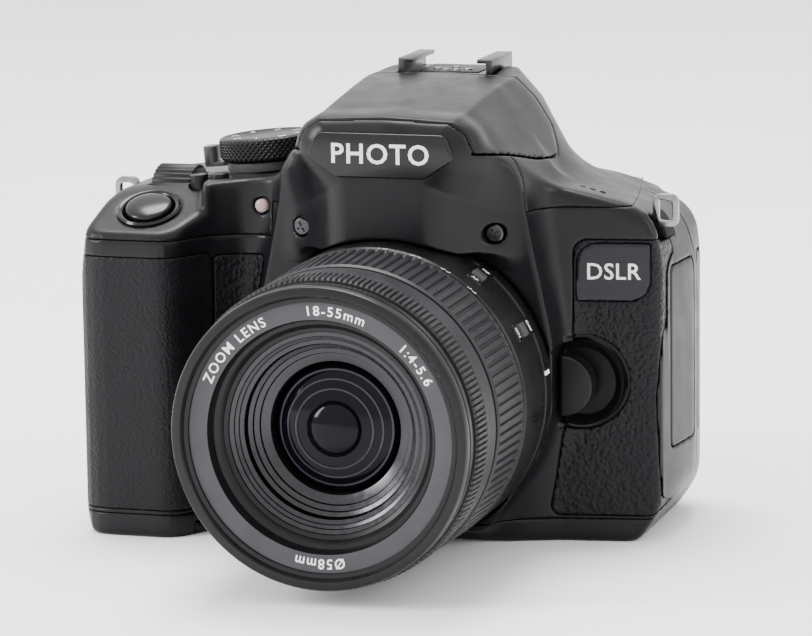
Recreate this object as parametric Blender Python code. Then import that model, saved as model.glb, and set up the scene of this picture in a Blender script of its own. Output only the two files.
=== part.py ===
"""Interchangeable-lens reflex camera with a folding screen and a zoom lens.

The script works in millimetres and converts to metres when a mesh is made. Every piece hangs from one
empty, mount_datum: its X = 0 is the lens axis, its Y = 0 is the lens mount face with the lens towards -Y,
and its Z = 0 is the base. The datum is set so that the whole camera's box is centred on the world origin.
"""

import math

import bmesh
import bpy
from mathutils import Matrix, Vector

MM = 0.001
GAP = 0.3

# Body: its two sides, its rear face, its base and the split lines between the shells.
LEFT, RIGHT = -73.6, 57.4
GRIP_FRONT, REAR = -9.8, 55.0
SCREEN_BED = 51.5
BASE_TOP = 5.0
SIDE_SPLIT_Y = 38.0
GRIP_SPLIT_Z, DECK_SPLIT_Z = 66.2, 74.0
SHOE_TOP = 102.6
EYECUP_REAR = 66.0

# Lens: radii about its axis and places along Y.
LENS_Z = 35.5
LENS_FRONT = -61.8
MOUNT_RADIUS, THROAT_RADIUS = 32.5, 26.2
BARREL_RADIUS, TUBE_RADIUS = 33.6, 27.3
BEZEL_RADIUS, FILTER_RADIUS = 32.0, 29.0
ZOOM_REAR, ZOOM_FRONT = -22.8, -41.2
FOCUS_FRONT = -56.0
ROUND_STEPS = 48

# Flash head: the axis of its arms, the plane of its lower edge and the two radii it turns within.
FLASH_AXIS = (30.5, 97.6)
FLASH_LOW, FLASH_REACH, FLASH_HEEL = 84.3, 43.0, 2.4

# Deck controls.
DECK_TILT = math.radians(-5.0)
DIAL_AT, DIAL_RADIUS = (-38.3, 24.2, 80.6), 11.0
WHEEL_AT, WHEEL_RADIUS, WHEEL_WIDTH = (-57.5, 18.0, 71.0), 8.6, 9.0
RELEASE_AT, RELEASE_RADIUS = (-58.3, -0.4, 72.6), 5.2
PLATEAU_TILT = math.radians(24.3)
REAR_DROP = math.radians(-3.4)

# Screen: box of the frame and the swing axis beside it.
SCREEN_LEFT, SCREEN_RIGHT = -27.0, 46.2
SCREEN_LOW, SCREEN_HIGH = 12.0, 66.0
SCREEN_AXIS = (50.0, 55.0)

DATUM = (-(LEFT + RIGHT) / 2, -(LENS_FRONT + EYECUP_REAR) / 2, 0.0)


# ---- scene and mesh helpers -------------------------------------------------------------------------


def clear_scene():
    for old in list(bpy.data.objects):
        bpy.data.objects.remove(old, do_unlink=True)


def material(name, colour, roughness, metallic=0.0):
    made = bpy.data.materials.get(name) or bpy.data.materials.new(name)
    made.use_nodes = True
    shader = made.node_tree.nodes["Principled BSDF"]
    shader.inputs["Base Color"].default_value = (*colour, 1.0)
    shader.inputs["Roughness"].default_value = roughness
    shader.inputs["Metallic"].default_value = metallic
    return made


def place(name, mesh, at=(0, 0, 0), turn=None):
    """A mesh as an object of the datum, at a point in millimetres and turned by a matrix."""
    made = bpy.data.objects.new(name, mesh)
    bpy.context.scene.collection.objects.link(made)
    made.parent = bpy.data.objects["mount_datum"]
    rotation = turn.to_4x4() if turn else Matrix()
    made.matrix_local = Matrix.Translation(Vector(at) * MM) @ rotation
    return made


def closed_mesh(name, corners, faces):
    shape = bmesh.new()
    made = [shape.verts.new(Vector(corner) * MM) for corner in corners]
    for face in faces:
        shape.faces.new([made[i] for i in face])
    bmesh.ops.recalc_face_normals(shape, faces=shape.faces)
    mesh = bpy.data.meshes.new(name)
    shape.to_mesh(mesh)
    shape.free()
    return mesh


def loft(name, rings, at=(0, 0, 0), turn=None):
    """A closed solid through rings of equally many points, capped at both ends."""
    count = len(rings[0])
    corners = [corner for ring in rings for corner in ring]
    faces = [range(count), range(len(corners) - count, len(corners))]
    for ring in range(len(rings) - 1):
        for i in range(count):
            j = (i + 1) % count
            first, second = ring * count, (ring + 1) * count
            faces.append((first + i, first + j, second + j, second + i))
    return place(name, closed_mesh(name, corners, faces), at, turn)


AXES = {
    "X": lambda a, b, h: (h, a, b),
    "Y": lambda a, b, h: (a, h, b),
    "Z": lambda a, b, h: (a, b, h),
}


def prism(name, outline, low, high, axis="Z", at=(0, 0, 0), turn=None):
    """An outline extruded along an axis. Its two numbers are the other axes, in X, Y, Z order."""
    rings = [[AXES[axis](a, b, height) for a, b in outline] for height in (low, high)]
    return loft(name, rings, at, turn)


def block(name, low, high, at=(0, 0, 0), turn=None):
    outline = [(low[0], low[1]), (high[0], low[1]), (high[0], high[1]), (low[0], high[1])]
    return prism(name, outline, low[2], high[2], "Z", at, turn)


def circle(radius, steps=ROUND_STEPS, middle=(0.0, 0.0)):
    angles = [2 * math.pi * i / steps for i in range(steps)]
    return [(middle[0] + radius * math.cos(a), middle[1] + radius * math.sin(a)) for a in angles]


def disc(name, radius, low, high, at, turn=None, steps=24):
    return prism(name, circle(radius, steps), low, high, "Z", at, turn)


def turned(name, profile, steps=ROUND_STEPS, at=(0, 0, LENS_Z)):
    """A closed (radius, y) profile turned about the Y axis through a point. Radius 0 makes a pole."""
    corners, rings = [], []
    for radius, y in profile:
        if radius == 0:
            rings.append([len(corners)] * steps)
            corners.append((0, y, 0))
            continue
        rings.append(range(len(corners), len(corners) + steps))
        corners += [(a, y, b) for a, b in circle(radius, steps)]
    faces = []
    closes = profile[0][0] != 0
    for ring in range(len(rings) if closes else len(rings) - 1):
        here, there = rings[ring], rings[(ring + 1) % len(rings)]
        for i in range(steps):
            j = (i + 1) % steps
            face = [here[i], here[j], there[j], there[i]]
            faces.append(list(dict.fromkeys(face)))
    return place(name, closed_mesh(name, corners, faces), at)


def rounded(points, steps=4):
    """An outline whose corners (a, b, radius) are arcs. A radius of 0 keeps the corner sharp."""
    outline = []
    for i, (a, b, radius) in enumerate(points):
        corner = Vector((a, b))
        before = (Vector(points[i - 1][:2]) - corner).normalized()
        after = (Vector(points[(i + 1) % len(points)][:2]) - corner).normalized()
        if radius == 0:
            outline.append((a, b))
            continue
        half = before.angle(after) / 2
        middle = corner + (before + after).normalized() * radius / math.sin(half)
        start = corner + before * radius / math.tan(half) - middle
        sweep = start.angle_signed(corner + after * radius / math.tan(half) - middle)
        for k in range(steps + 1):
            turn = Matrix.Rotation(-sweep * k / steps, 2)
            outline.append(tuple(middle + turn @ start))
    return outline


def rounded_box(left, low, right, high, radius, steps=3):
    corners = [(left, low, radius), (right, low, radius), (right, high, radius), (left, high, radius)]
    return rounded(corners, steps)


def bevel(made, width, segments=1, angle=35.0):
    modifier = made.modifiers.new("edges", "BEVEL")
    modifier.width = width * MM
    modifier.segments = segments
    modifier.limit_method = "ANGLE"
    modifier.angle_limit = math.radians(angle)
    return made


def settle(made):
    """Applies an object's modifiers to its mesh."""
    bpy.context.view_layer.update()
    graph = bpy.context.evaluated_depsgraph_get()
    mesh = bpy.data.meshes.new_from_object(made.evaluated_get(graph))
    made.modifiers.clear()
    made.data = mesh
    return made


def boolean(made, other, operation, solver="EXACT"):
    modifier = made.modifiers.new(operation.lower(), "BOOLEAN")
    modifier.operation = operation
    modifier.solver = solver
    modifier.object = other
    settle(made)
    bpy.data.objects.remove(other, do_unlink=True)
    return made


def cut(made, *cutters, solver="EXACT"):
    for cutter in cutters:
        boolean(made, cutter, "DIFFERENCE", solver)
    return made


def join(made, *others):
    for other in others:
        boolean(made, other, "UNION")
    return made


def keep(made, cutter, solver="EXACT"):
    return boolean(made, cutter, "INTERSECT", solver)


def copy_of(source, name):
    made = place(name, source.data.copy())
    made.matrix_local = source.matrix_local
    return made


def finish(made, surface, smooth=True):
    made.data.materials.clear()
    made.data.materials.append(surface)
    if smooth:
        made.data.shade_smooth()
        made.data.set_sharp_from_angle(angle=math.radians(35))
    return made


# ---- outer form of the body -------------------------------------------------------------------------


def plan_outline():
    """The body seen from above, with the grip standing forward at the left."""
    return rounded([
        (LEFT, GRIP_FRONT, 7), (-50.5, GRIP_FRONT, 6), (-42.0, 5.0, 3), (28.0, 5.0, 0), (28.6, 8.2, 0),
        (54.4, 12.3, 2.5), (RIGHT, 34, 12), (54.4, SCREEN_BED, 4), (46.8, SCREEN_BED, 0),
        (46.8, REAR, 2), (-61, REAR, 8), (-72.8, 47, 8),
    ])


def front_outline():
    """The body without its hump, seen from the front."""
    return rounded([
        (LEFT + 2.2, -0.01, 0), (LEFT, 4.5, 5), (LEFT, 57, 12), (-69.4, 74.8, 4), (-50, 77.9, 0),
        (-27, 80.1, 0), (30, 79.0, 5), (51.0, 75.0, 7), (57.2, 58, 10), (RIGHT + 0.2, 30, 0),
        (RIGHT + 0.2, 10.4, 5), (RIGHT - 7.3, -0.01, 0),
    ])


def deck_block():
    made = prism("outer_form", plan_outline(), 0.0, 90.0)
    keep(made, prism("front_form", front_outline(), -30.0, 80.0, "Y"))
    slope = Matrix.Rotation(PLATEAU_TILT, 3, "X")
    cut(made, block("plateau_cut", (-30, -30, 0), (9.6, 20.5, 30), (-57.6, GRIP_FRONT, 67.6), slope))
    drop = Matrix.Rotation(REAR_DROP, 3, "X")
    cut(made, block("rear_slope", (-20, 0, 0), (90, 80, 30), (20, 12.0, 79.2), drop))
    cut(made, loft("shoulder_slope", [shoulder_ring(-30), shoulder_ring(80)]))
    return settle(bevel(made, 1.4, 2))


def shoulder_ring(y):
    """The space above the right shoulder, which falls outwards and to the rear."""
    low = [(x, y, 74.9 - 0.42 * (x - 41) - 0.1075 * (y - 50)) for x in (20, 90)]
    return low + [(90, y, 120), (20, y, 120)]


def hump_ring(y, widths, heights):
    """One cross-section of the hump at a place along Y: half widths and heights from base to crown."""
    right = [(w, y, z) for w, z in zip(widths, heights)]
    left = [(-w, y, z) for w, z in zip(widths, heights)]
    return right + [(0.0, y, heights[-1] + 0.7)] + left[::-1]


def hump():
    rings = [
        hump_ring(-14.8, (9, 17.2, 16.0, 13.0), (81.8, 87.2, 92.4, 93.8)),
        hump_ring(-13.1, (12, 19.2, 18.0, 14.0), (80.0, 87.0, 92.6, 94.6)),
        hump_ring(-3.0, (22, 24.4, 19.6, 15.6), (74.6, 84.2, 92.8, 95.9)),
        hump_ring(10, (28, 26.2, 20.0, 15.6), (72.0, 84.0, 94.0, 97.6)),
        hump_ring(22, (32, 27.6, 21.0, 15.6), (72.0, 84.0, 94.8, 98.8)),
        hump_ring(34, (34, 27.8, 21.6, 15.0), (72.0, 84.0, 94.8, 99.3)),
        hump_ring(50, (29, 23.0, 18.4, 12.0), (72.0, 82.0, 91.8, 98.0)),
        hump_ring(57, (20, 19.0, 16.4, 11.0), (73.0, 80.0, 87.4, 91.6)),
    ]
    return loft("hump_form", rings)


def mount_bulge():
    """The raised panel round the lens mount, wider at the lens than under the hump."""
    half = [(24.0, 3.4, 2), (31.4, 22, 8), (35.0, 36, 8), (32.6, 50, 8), (25.8, 82.6, 5)]
    outline = rounded(half + [(-x, z, r) for x, z, r in half[::-1]])
    return settle(bevel(prism("bulge_form", outline, -1.5, 14.0, "Y"), 1.0, 2))


def body_cavity():
    """The hollow inside the shells, as plain rooms that overlap each other."""
    room = block("cavity", (-69.5, 15.0, 3.0), (50.0, 48.6, 70.5))
    join(room, block("grip_room", (-68.0, -3.6, 3.1), (-49.8, 16.0, 63.5)))
    join(room, block("mirror_room", (-23.0, 2.6, 12.0), (23.0, 16.0, 71.0)))
    join(room, block("button_room", (-63.5, 6.5, 60.0), (-28.5, 40.0, 73.8)))
    join(room, block("viewfinder_room", (-17.0, 8.8, 70.0), (17.0, 48.4, 82.0)))
    return join(room, block("prism_room", (-15.8, 35.0, 80.0), (15.8, 48.6, 92.6)))


def outer_form():
    form = join(deck_block(), hump(), mount_bulge())
    form.hide_render = True
    form.display_type = "WIRE"
    return form


# ---- shells -----------------------------------------------------------------------------------------


def grip_skin_region(grow=0.0):
    """The space of the grip's rubber: a strip round the grip's left side, front and inner flank."""
    low, high = BASE_TOP + 1.2 - grow, 62.6 + grow
    depth = 1.3 + grow
    flank = Vector((8.5, 14.8)).normalized()
    inward = Vector((-flank.y, flank.x))
    end = Vector((-44.6, 0.47)) + flank * grow
    inner = rounded([
        (*(end + inward * depth), 0), (-50.5 - 0.58 * depth, GRIP_FRONT + depth, 5),
        (LEFT + depth, GRIP_FRONT + depth, 8 - depth), (LEFT + depth, 30 + grow, 0),
    ])
    outer = [
        (LEFT - 3, 30 + grow), (LEFT - 3, GRIP_FRONT - 3), (-46, GRIP_FRONT - 3), tuple(end - inward * 3),
    ]
    return prism("skin_region", inner + outer, low, high)


def panel_skin_region(grow=0.0):
    """The space of the textured panel beside the lens, under and around the badge."""
    outline = rounded([
        (29.9 - grow, BASE_TOP + 0.9 - grow, 1), (53.6 + grow, BASE_TOP + 0.9 - grow, 2),
        (53.6 + grow, 67.0 + grow, 3), (35.2 - grow, 67.0 + grow, 3), (35.9 - grow, 47.0, 3),
        (37.0 - grow, 36.0, 3), (33.4 - grow, 24.0, 3),
    ], 3)
    made = prism("panel_region", outline, 0, 20, "Y")
    slope = (12.3 - 8.2) / (54.4 - 28.6)
    depth = 1.0 + grow
    face = [8.2 + slope * (x - 28.6) + depth for x in (20, 60)]
    behind = [(20, face[0]), (60, face[1]), (60, 40), (20, 40)]
    return cut(made, prism("panel_core", behind, -5, 90))


def mount_seat():
    """The stepped bore that takes the lens barrel's foot, the mount ring and the throat."""
    foot, ring, throat = BARREL_RADIUS + 0.5, MOUNT_RADIUS + GAP, THROAT_RADIUS + GAP
    outline = [
        (0, -10), (foot, -10), (foot, -0.1), (ring, -0.1),
        (ring, 2.6), (throat, 2.6), (throat, 20), (0, 20),
    ]
    return turned("mount_seat", outline, 40)


def release_pocket():
    """The round pocket of the lens release button, closed on the side of the lens mount."""
    pocket = y_disc("release_pocket", RELEASE_POCKET, -10, 10.6, LENS_RELEASE_AT, 28)
    return cut(pocket, block("pocket_wall", (0, -20, 20), (POCKET_WALL, 20, 50)))


def screw_hole(x):
    return y_disc("screw_hole", 2.2, -6.0, 0.4, (x, 0, 69.9), 12)


def make_front_cover(form, plastic):
    made = copy_of(form, "front_cover")
    cut(made, body_cavity())
    region = block("low_front", (-90, -30, BASE_TOP + GAP), (90, SIDE_SPLIT_Y, GRIP_SPLIT_Z))
    join(region, block("high_front", (-31.0, -29, 50), (91, SIDE_SPLIT_Y - 0.01, DECK_SPLIT_Z)))
    join(region, block("nose", (-30.0, -28, 60), (30.0, -0.02, 110)))
    keep(made, region)
    skins = grip_skin_region(GAP), panel_skin_region(GAP)
    cut(made, flash_region(GAP), *skins, mount_seat(), solver="MANIFOLD")
    cut(made, screw_hole(-21.7), screw_hole(21.7), release_hole())
    cut(made, release_pocket())
    cut(made, side_door("front_door_pocket", 19.0, 35.2, GAP))
    cut(made, lug_room(1), lug_room(-1))
    return finish(made, plastic)


def make_rear_cover(form, plastic):
    made = copy_of(form, "rear_cover")
    cut(made, body_cavity())
    keep(made, block("rear_region", (-90, SIDE_SPLIT_Y + GAP, BASE_TOP + GAP), (90, 90, DECK_SPLIT_Z)))
    bed_low = (SCREEN_LEFT - GAP, SCREEN_BED, SCREEN_LOW - GAP)
    bed = block("screen_bed", bed_low, (90, 90, SCREEN_HIGH + GAP))
    cut(made, bed, side_door("rear_door_pocket", 40.5, 47.2, GAP), thumb_region(GAP))
    for _, at, radius in REAR_BUTTONS:
        cut(made, y_disc("button_hole", radius + GAP, REAR - 3.4, REAR + 5, at, 16))
    cut(made, y_disc("pad_hole", 8.6 + GAP, REAR - 3.6, REAR + 5, PAD_AT, 24))
    return finish(made, plastic)


def make_bottom_cover(form, plastic):
    made = copy_of(form, "bottom_cover")
    cut(made, body_cavity())
    keep(made, block("bottom_region", (-90, -30, -5), (90, 90, BASE_TOP)))
    hatch = battery_hatch("hatch_hole", GAP, -1, 2.9)
    well = block("battery_well", (-65.5, -3.6, 1), (-49.5, 30.4, 4.2))
    socket = disc("socket_hole", 5.0 + GAP, -1, 8, (0, 30, 0))
    cut(made, hatch, well, socket, mount_seat(), solver="MANIFOLD")
    return finish(made, plastic)


def deck_turn():
    return Matrix.Rotation(DECK_TILT, 3, "Y")


def make_top_cover(form, plastic):
    made = copy_of(form, "top_cover")
    cut(made, body_cavity())
    region = block("deck_region", (-90, 0.3, DECK_SPLIT_Z + GAP), (90, 90, 120))
    join(region, block("grip_top", (-90, -30, GRIP_SPLIT_Z + GAP), (-31.3, SIDE_SPLIT_Y, 110)))
    keep(made, region)
    cut(made, flash_region(GAP))
    cut(made, disc("dial_shaft_hole", 3.5 + GAP, -20, 3, DIAL_AT, deck_turn()))
    cut(made, disc("lever_seat", 9.6 + GAP, -2.2, 6, DIAL_AT, deck_turn(), 32))
    cut(made, wheel_slot())
    cut(made, release_hole())
    for x, y in TOP_BUTTONS:
        cut(made, disc("top_button_hole", 2.1 + GAP, -12, 4, (x, y, deck_height(x)), deck_turn(), 16))
    cut(made, y_disc("eye_window", 6.0, 48, 60, (0, 0, EYE_Z), 20))
    cut(made, block("shoe_seat", (-11.2, 33.6, 98.2), (11.2, 51.4, 110)))
    cut(made, y_disc("diopter_hole", 2.6 + GAP, 50.5, 60, DIOPTER_AT, 16))
    cut(made, lamp_disc("lamp_hole", 1.9, -10, 9))
    cut(made, disc("dial_recess", DIAL_RADIUS + 0.6, 0.2, 12, DIAL_AT, deck_turn(), 32))
    cut(made, lug_room(1), lug_room(-1))
    return finish(made, plastic)


# ---- grip, panel, plates ----------------------------------------------------------------------------


def thumb_region(grow=0.0):
    outline = rounded_box(-69.0 - grow, 36.0 - grow, -53.6 + grow, 62.0 + grow, 3)
    return prism("thumb_region", outline, REAR - 1.3 - grow, REAR + 5, "Y")


def make_skins(form, rubber, leather):
    grip = keep(copy_of(form, "grip_rubber"), grip_skin_region())
    panel = keep(copy_of(form, "panel_leather"), panel_skin_region())
    cut(panel, badge_region(GAP), y_disc("release_gap", RELEASE_POCKET, -10, 30, LENS_RELEASE_AT, 28))
    thumb = keep(copy_of(form, "thumb_rubber"), thumb_region())
    finish(grip, rubber)
    finish(panel, leather)
    finish(thumb, rubber)


def badge_region(grow=0.0):
    outline = rounded([
        (36.2 - grow, 53.6 - grow, 0), (52.0 + grow, 53.6 - grow, 4),
        (52.0 + grow, 66.2 + grow, 0), (36.2 - grow, 66.2 + grow, 4),
    ])
    return prism("badge_region", outline, 0, 12.6 + grow, "Y")


def make_badge(form, plastic):
    badge = keep(copy_of(form, "badge_plate"), badge_region())
    keep(badge, panel_skin_region())
    finish(badge, plastic)


def make_name_plate(plastic):
    half = [(9.6, 82.8, 3), (16.0, 87.2, 1.5), (14.2, 92.4, 2)]
    outline = rounded([(-x, z, r) for x, z, r in half[::-1]] + half, 3)
    made = prism("name_plate", outline, -16.0, -15.1, "Y")
    finish(bevel(made, 0.25), plastic)


# ---- lens mount and inside of the body --------------------------------------------------------------


def make_mount_ring(metal):
    profile = [(THROAT_RADIUS, 0.0), (MOUNT_RADIUS, 0.0), (MOUNT_RADIUS, 2.3), (THROAT_RADIUS, 2.3)]
    finish(turned("lens_mount_ring", profile), metal)


def make_mirror_box(black, glass, metal):
    box = block("mirror_box", (-20.0, 5.6, 19.0), (20.0, 35.0, 66.0))
    cut(box, block("mirror_well", (-17.4, 0, 21.0), (17.4, 33.0, 63.0)))
    cut(box, block("screen_well", (-17.0, 8.0, 60.0), (17.0, 32.0, 80.0)))
    cut(box, block("shutter_gate", (-12.0, 30.0, 28.0), (12.0, 40.0, 44.0)))
    finish(box, black)
    finish(block("focusing_screen", (-16.6, 8.4, 63.6), (16.6, 31.6, 65.2)), glass)
    shutter = block("shutter_unit", (-19.0, 35.3, 18.0), (19.0, 39.4, 55.0))
    cut(shutter, block("shutter_window", (-11.6, 30, 28.4), (11.6, 50, 43.6)))
    finish(shutter, metal)
    finish(block("image_sensor", (-14.0, 39.7, 25.0), (14.0, 42.2, 46.0)), glass)
    mirror = block("mirror", (-15.6, -0.5, -24.5), (15.6, 0.5, 0.0), MIRROR_AT, mirror_turn())
    finish(mirror, metal)


MIRROR_AT = (0.0, 31.6, 57.0)
MIRROR_REST = math.radians(-45.0)


def mirror_turn():
    """At rest the mirror leans forward and down from its hinge at 45 degrees."""
    return Matrix.Rotation(MIRROR_REST, 3, "X")


def make_prism_block(glass, board, battery, metal):
    side = [(9.5, 66.4), (44.0, 66.4), (47.0, 80.0), (47.0, 90.0), (38.0, 92.0), (35.6, 81.6), (9.5, 79.0)]
    finish(prism("pentamirror", side, -15.5, 15.5, "X"), glass, False)
    circuit = block("main_board", (-44.0, 43.4, 8.0), (46.0, 45.0, 66.0))
    finish(circuit, board)
    finish(bevel(block("battery_pack", (-64.5, -3.0, 3.5), (-50.5, 30.0, 49.0)), 1.2), battery)
    socket = disc("tripod_socket", 5.0, 0.2, 7.6, (0, 30, 0))
    cut(socket, disc("thread_bore", 3.1, -2, 6.0, (0, 30, 0), None, 16))
    finish(socket, metal)


# ---- flash ------------------------------------------------------------------------------------------


def flash_region(grow=0.0):
    """The space of the flash head, bounded in front and behind by arcs about the axis of its arms."""
    y, z = FLASH_AXIS
    low, reach, heel = FLASH_LOW - grow, FLASH_REACH + grow, FLASH_HEEL + grow
    front = [(y - math.sqrt(reach**2 - (z - h) ** 2), h) for h in (low, 87.5, 90.7, 93.9, z)]
    behind = [(y + heel * math.cos(a), z + heel * math.sin(a)) for a in (0.0, 0.5, 1.0, 1.5)]
    side = front + [(front[-1][0], 120), (y, 120)] + behind[::-1] + [(y + heel, z - 6.0), (y - 8.0, low)]
    return prism("flash_region", side, -60, 60, "X")


def make_flash(form, plastic, clear):
    head = keep(copy_of(form, "flash_head"), flash_region(), "MANIFOLD")
    cut(head, block("flash_room", (-15.0, -8.4, 80.0), (15.0, 24.0, 92.2)), solver="MANIFOLD")
    finish(head, plastic)
    window = block("flash_window", (-13.6, -8.1, 85.0), (13.6, -2.0, 91.3))
    finish(bevel(window, 0.5), clear)


def make_hot_shoe(metal):
    """The shoe's metal channel: a plate with two rails that turn inwards over it."""
    half = [(10.9, 98.5), (10.9, SHOE_TOP), (7.4, SHOE_TOP), (7.4, 101.7), (9.4, 101.7), (9.4, 99.3)]
    outline = half + [(-x, z) for x, z in half[::-1]]
    made = prism("hot_shoe", outline, 33.9, 51.1, "Y")
    finish(made, metal)


# ---- deck controls ----------------------------------------------------------------------------------


TOP_BUTTONS = [(-44.8, 8.8), (-50.0, 10.0)]


def deck_height(x):
    return 77.9 + (x + 50.0) * (80.1 - 77.9) / 23.0


def plateau_turn():
    return Matrix.Rotation(PLATEAU_TILT, 3, "X")


def release_hole():
    return disc("release_hole", RELEASE_RADIUS + GAP, -12, 6, RELEASE_AT, plateau_turn())


def wheel_slot():
    x, y, z = WHEEL_AT
    half = WHEEL_WIDTH / 2 + GAP
    return prism("wheel_slot", circle(WHEEL_RADIUS + GAP, 32, (y, z)), x - half, x + half, "X")


def make_deck_controls(plastic, gloss):
    dial = disc("mode_dial", DIAL_RADIUS, 0.3, 5.6, DIAL_AT, deck_turn(), 40)
    bevel(dial, 0.5)
    join(settle(dial), disc("dial_shaft", 3.2, -6.0, 1.0, DIAL_AT, deck_turn(), 20))
    finish(dial, plastic)
    lever = disc("power_lever", 9.5, -1.9, 0.0, DIAL_AT, deck_turn(), 32)
    tab = rounded_box(-15.0, -2.4, -9.0, 2.4, 1.6)
    join(lever, prism("lever_tab", tab, -0.9, 0.0, "Z", DIAL_AT, deck_turn()))
    grip = rounded_box(-15.0, -2.4, -12.0, 2.4, 1.2)
    join(lever, prism("lever_grip", grip, -0.5, 3.6, "Z", DIAL_AT, deck_turn()))
    cut(lever, disc("lever_bore", 3.5 + GAP, -5, 5, DIAL_AT, deck_turn(), 20))
    finish(lever, plastic)
    x = WHEEL_AT[0]
    half = WHEEL_WIDTH / 2
    teeth = []
    for i in range(72):
        radius = WHEEL_RADIUS - (0.0 if i % 2 else 0.45)
        angle = 2 * math.pi * i / 72
        teeth.append((radius * math.cos(angle), radius * math.sin(angle)))
    finish(prism("main_dial", teeth, -half, half, "X", WHEEL_AT), plastic)
    button = disc("shutter_button", RELEASE_RADIUS, -6.0, 1.0, RELEASE_AT, plateau_turn(), 28)
    finish(bevel(button, 0.4), gloss)
    for name, (x, y) in zip(("iso_button", "display_button"), TOP_BUTTONS):
        made = disc(name, 2.1, -4.0, 0.7, (x, y, deck_height(x)), deck_turn(), 16)
        finish(made, plastic)


# ---- front details ----------------------------------------------------------------------------------


RELEASE_POCKET = 9.4
LENS_RELEASE_AT = (37.4, 0, 35.7)
LENS_BUTTON_AT = (34.9, 0, 35.7)
LENS_BUTTON_FLAT = 34.1
POCKET_WALL = 33.4


def y_disc(name, radius, low, high, at, steps=20):
    middle = (at[0], at[2])
    return prism(name, circle(radius, steps, middle), low, high, "Y")


def lamp_disc(name, radius, low, high):
    return y_disc(name, radius, low, high, (-33.8, 0, 72.8), 16)


def make_front_details(plastic, lamp):
    button = y_disc("lens_release_button", 6.6, 3.4, 8.7, LENS_BUTTON_AT, 28)
    cut(button, block("flat_side", (20, 0, 20), (LENS_BUTTON_FLAT, 20, 50)))
    finish(bevel(button, 0.4), plastic)
    finish(lamp_disc("self_timer_lamp", 1.6, 4.2, 8.4), lamp)


DOOR_BED = 54.0


def side_door(name, front, rear, grow=0.0):
    outline = rounded_box(front - grow, 20.0 - grow, rear + grow, 60.0 + grow, 2)
    return prism(name, outline, DOOR_BED - grow, 70, "X")


def make_side_doors(form, rubber):
    for name, front, rear in (("terminal_cover_front", 19.0, 35.0), ("terminal_cover_rear", 40.5, 46.6)):
        finish(keep(copy_of(form, name), side_door("door_region", front, rear)), rubber)


def lug_room(sign):
    """The corner recess that holds a strap lug, open to the front, the side and the top."""
    side = RIGHT if sign > 0 else LEFT
    x = [side - sign * depth for depth in (10.5, 6.4, 6.4, -4.0, -4.0)]
    outline = list(zip(x, (81.0, 75.8, 66.5, 64.5, 83.0)))
    return prism("lug_room", outline, 14.5, 27.0, "Y")


def make_strap_lugs(metal):
    for name, side, sign in (("strap_lug_right", RIGHT, 1), ("strap_lug_left", LEFT, -1)):
        at = (side - 3.3 * sign, 19.0, 72.6)
        frame = prism(name, rounded_box(-2.8, -3.6, 2.8, 3.6, 1.6), -0.8, 0.8, "Y", at)
        hole = prism("lug_slot", rounded_box(-1.5, -2.3, 1.5, 2.3, 0.8), -2, 2, "Y", at)
        finish(cut(frame, hole), metal)


# ---- rear -------------------------------------------------------------------------------------------


EYE_Z = 80.4
PAD_AT = (-44.0, 0, 34.0)
DIOPTER_AT = (20.6, 0, 77.6)
REAR_BUTTONS = [
    ("menu_button", (38.0, 0, 70.2), 1.9), ("info_button", (31.0, 0, 70.2), 1.9),
    ("live_view_button", (-30.4, 0, 69.0), 2.2), ("af_on_button", (-42.5, 0, 66.0), 2.0),
    ("ae_lock_button", (-56.0, 0, 68.0), 1.9), ("quick_button", (-34.0, 0, 52.0), 1.9),
    ("playback_button", (-34.4, 0, 18.0), 2.1), ("erase_button", (-48.0, 0, 16.0), 2.1),
]


def make_rear_controls(plastic, rubber, clear):
    for name, at, radius in REAR_BUTTONS:
        finish(y_disc(name, radius, REAR - 2.2, REAR + 0.7, at, 16), plastic)
    ring = [(4.6, REAR - 2.3), (8.6, REAR - 2.3), (8.4, REAR + 1.0), (4.8, REAR + 0.8)]
    finish(turned("control_wheel", ring, 32, PAD_AT), plastic)
    finish(y_disc("set_button", 3.9, REAR - 2.2, REAR + 0.8, PAD_AT, 20), plastic)
    knob = y_disc("diopter_knob", 2.6, 50.9, 58.4, DIOPTER_AT, 20)
    finish(knob, plastic)
    outer = rounded_box(-16.8, EYE_Z - 10.4, 16.8, EYE_Z + 8.6, 7)
    cup = prism("eyecup", outer, 57.4, EYECUP_REAR, "Y")
    bevel(cup, 1.6)
    cut(settle(cup), prism("eye_hole", rounded_box(-10.5, EYE_Z - 6.0, 10.5, EYE_Z + 5.6, 4), 50, 80, "Y"))
    finish(cup, rubber)
    finish(y_disc("eyepiece_lens", 5.7, 50.0, 53.0, (0, 0, EYE_Z), 20), clear)


def make_screen(plastic, glass):
    post = circle(3.1, 20, SCREEN_AXIS)
    finish(prism("screen_hinge", post, SCREEN_LOW + 6, SCREEN_HIGH - 6), plastic)
    low, high = (SCREEN_LEFT, SCREEN_BED + GAP, SCREEN_LOW), (SCREEN_RIGHT, 58.2, SCREEN_HIGH)
    frame = prism("screen_frame", rounded_box(low[0], low[2], high[0], high[2], 3), low[1], high[1], "Y")
    bevel(frame, 0.8)
    cut(settle(frame), block("panel_bed", (-23.0, 40, 16.0), (42.0, 52.6, 62.5)))
    finish(frame, plastic)
    finish(block("lcd_panel", (-22.7, SCREEN_BED + GAP, 16.3), (41.7, 52.3, 62.2)), glass)


# ---- base -------------------------------------------------------------------------------------------


def battery_hatch(name, grow, low, high):
    return prism(name, rounded_box(-68.0 - grow, -4.0 - grow, -42.5 + grow, 31.0 + grow, 3), low, high)


def make_battery_door(plastic):
    door = battery_hatch("battery_door", 0.0, 0.3, 2.5)
    finish(bevel(door, 0.3), plastic)


# ---- lens -------------------------------------------------------------------------------------------


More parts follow.
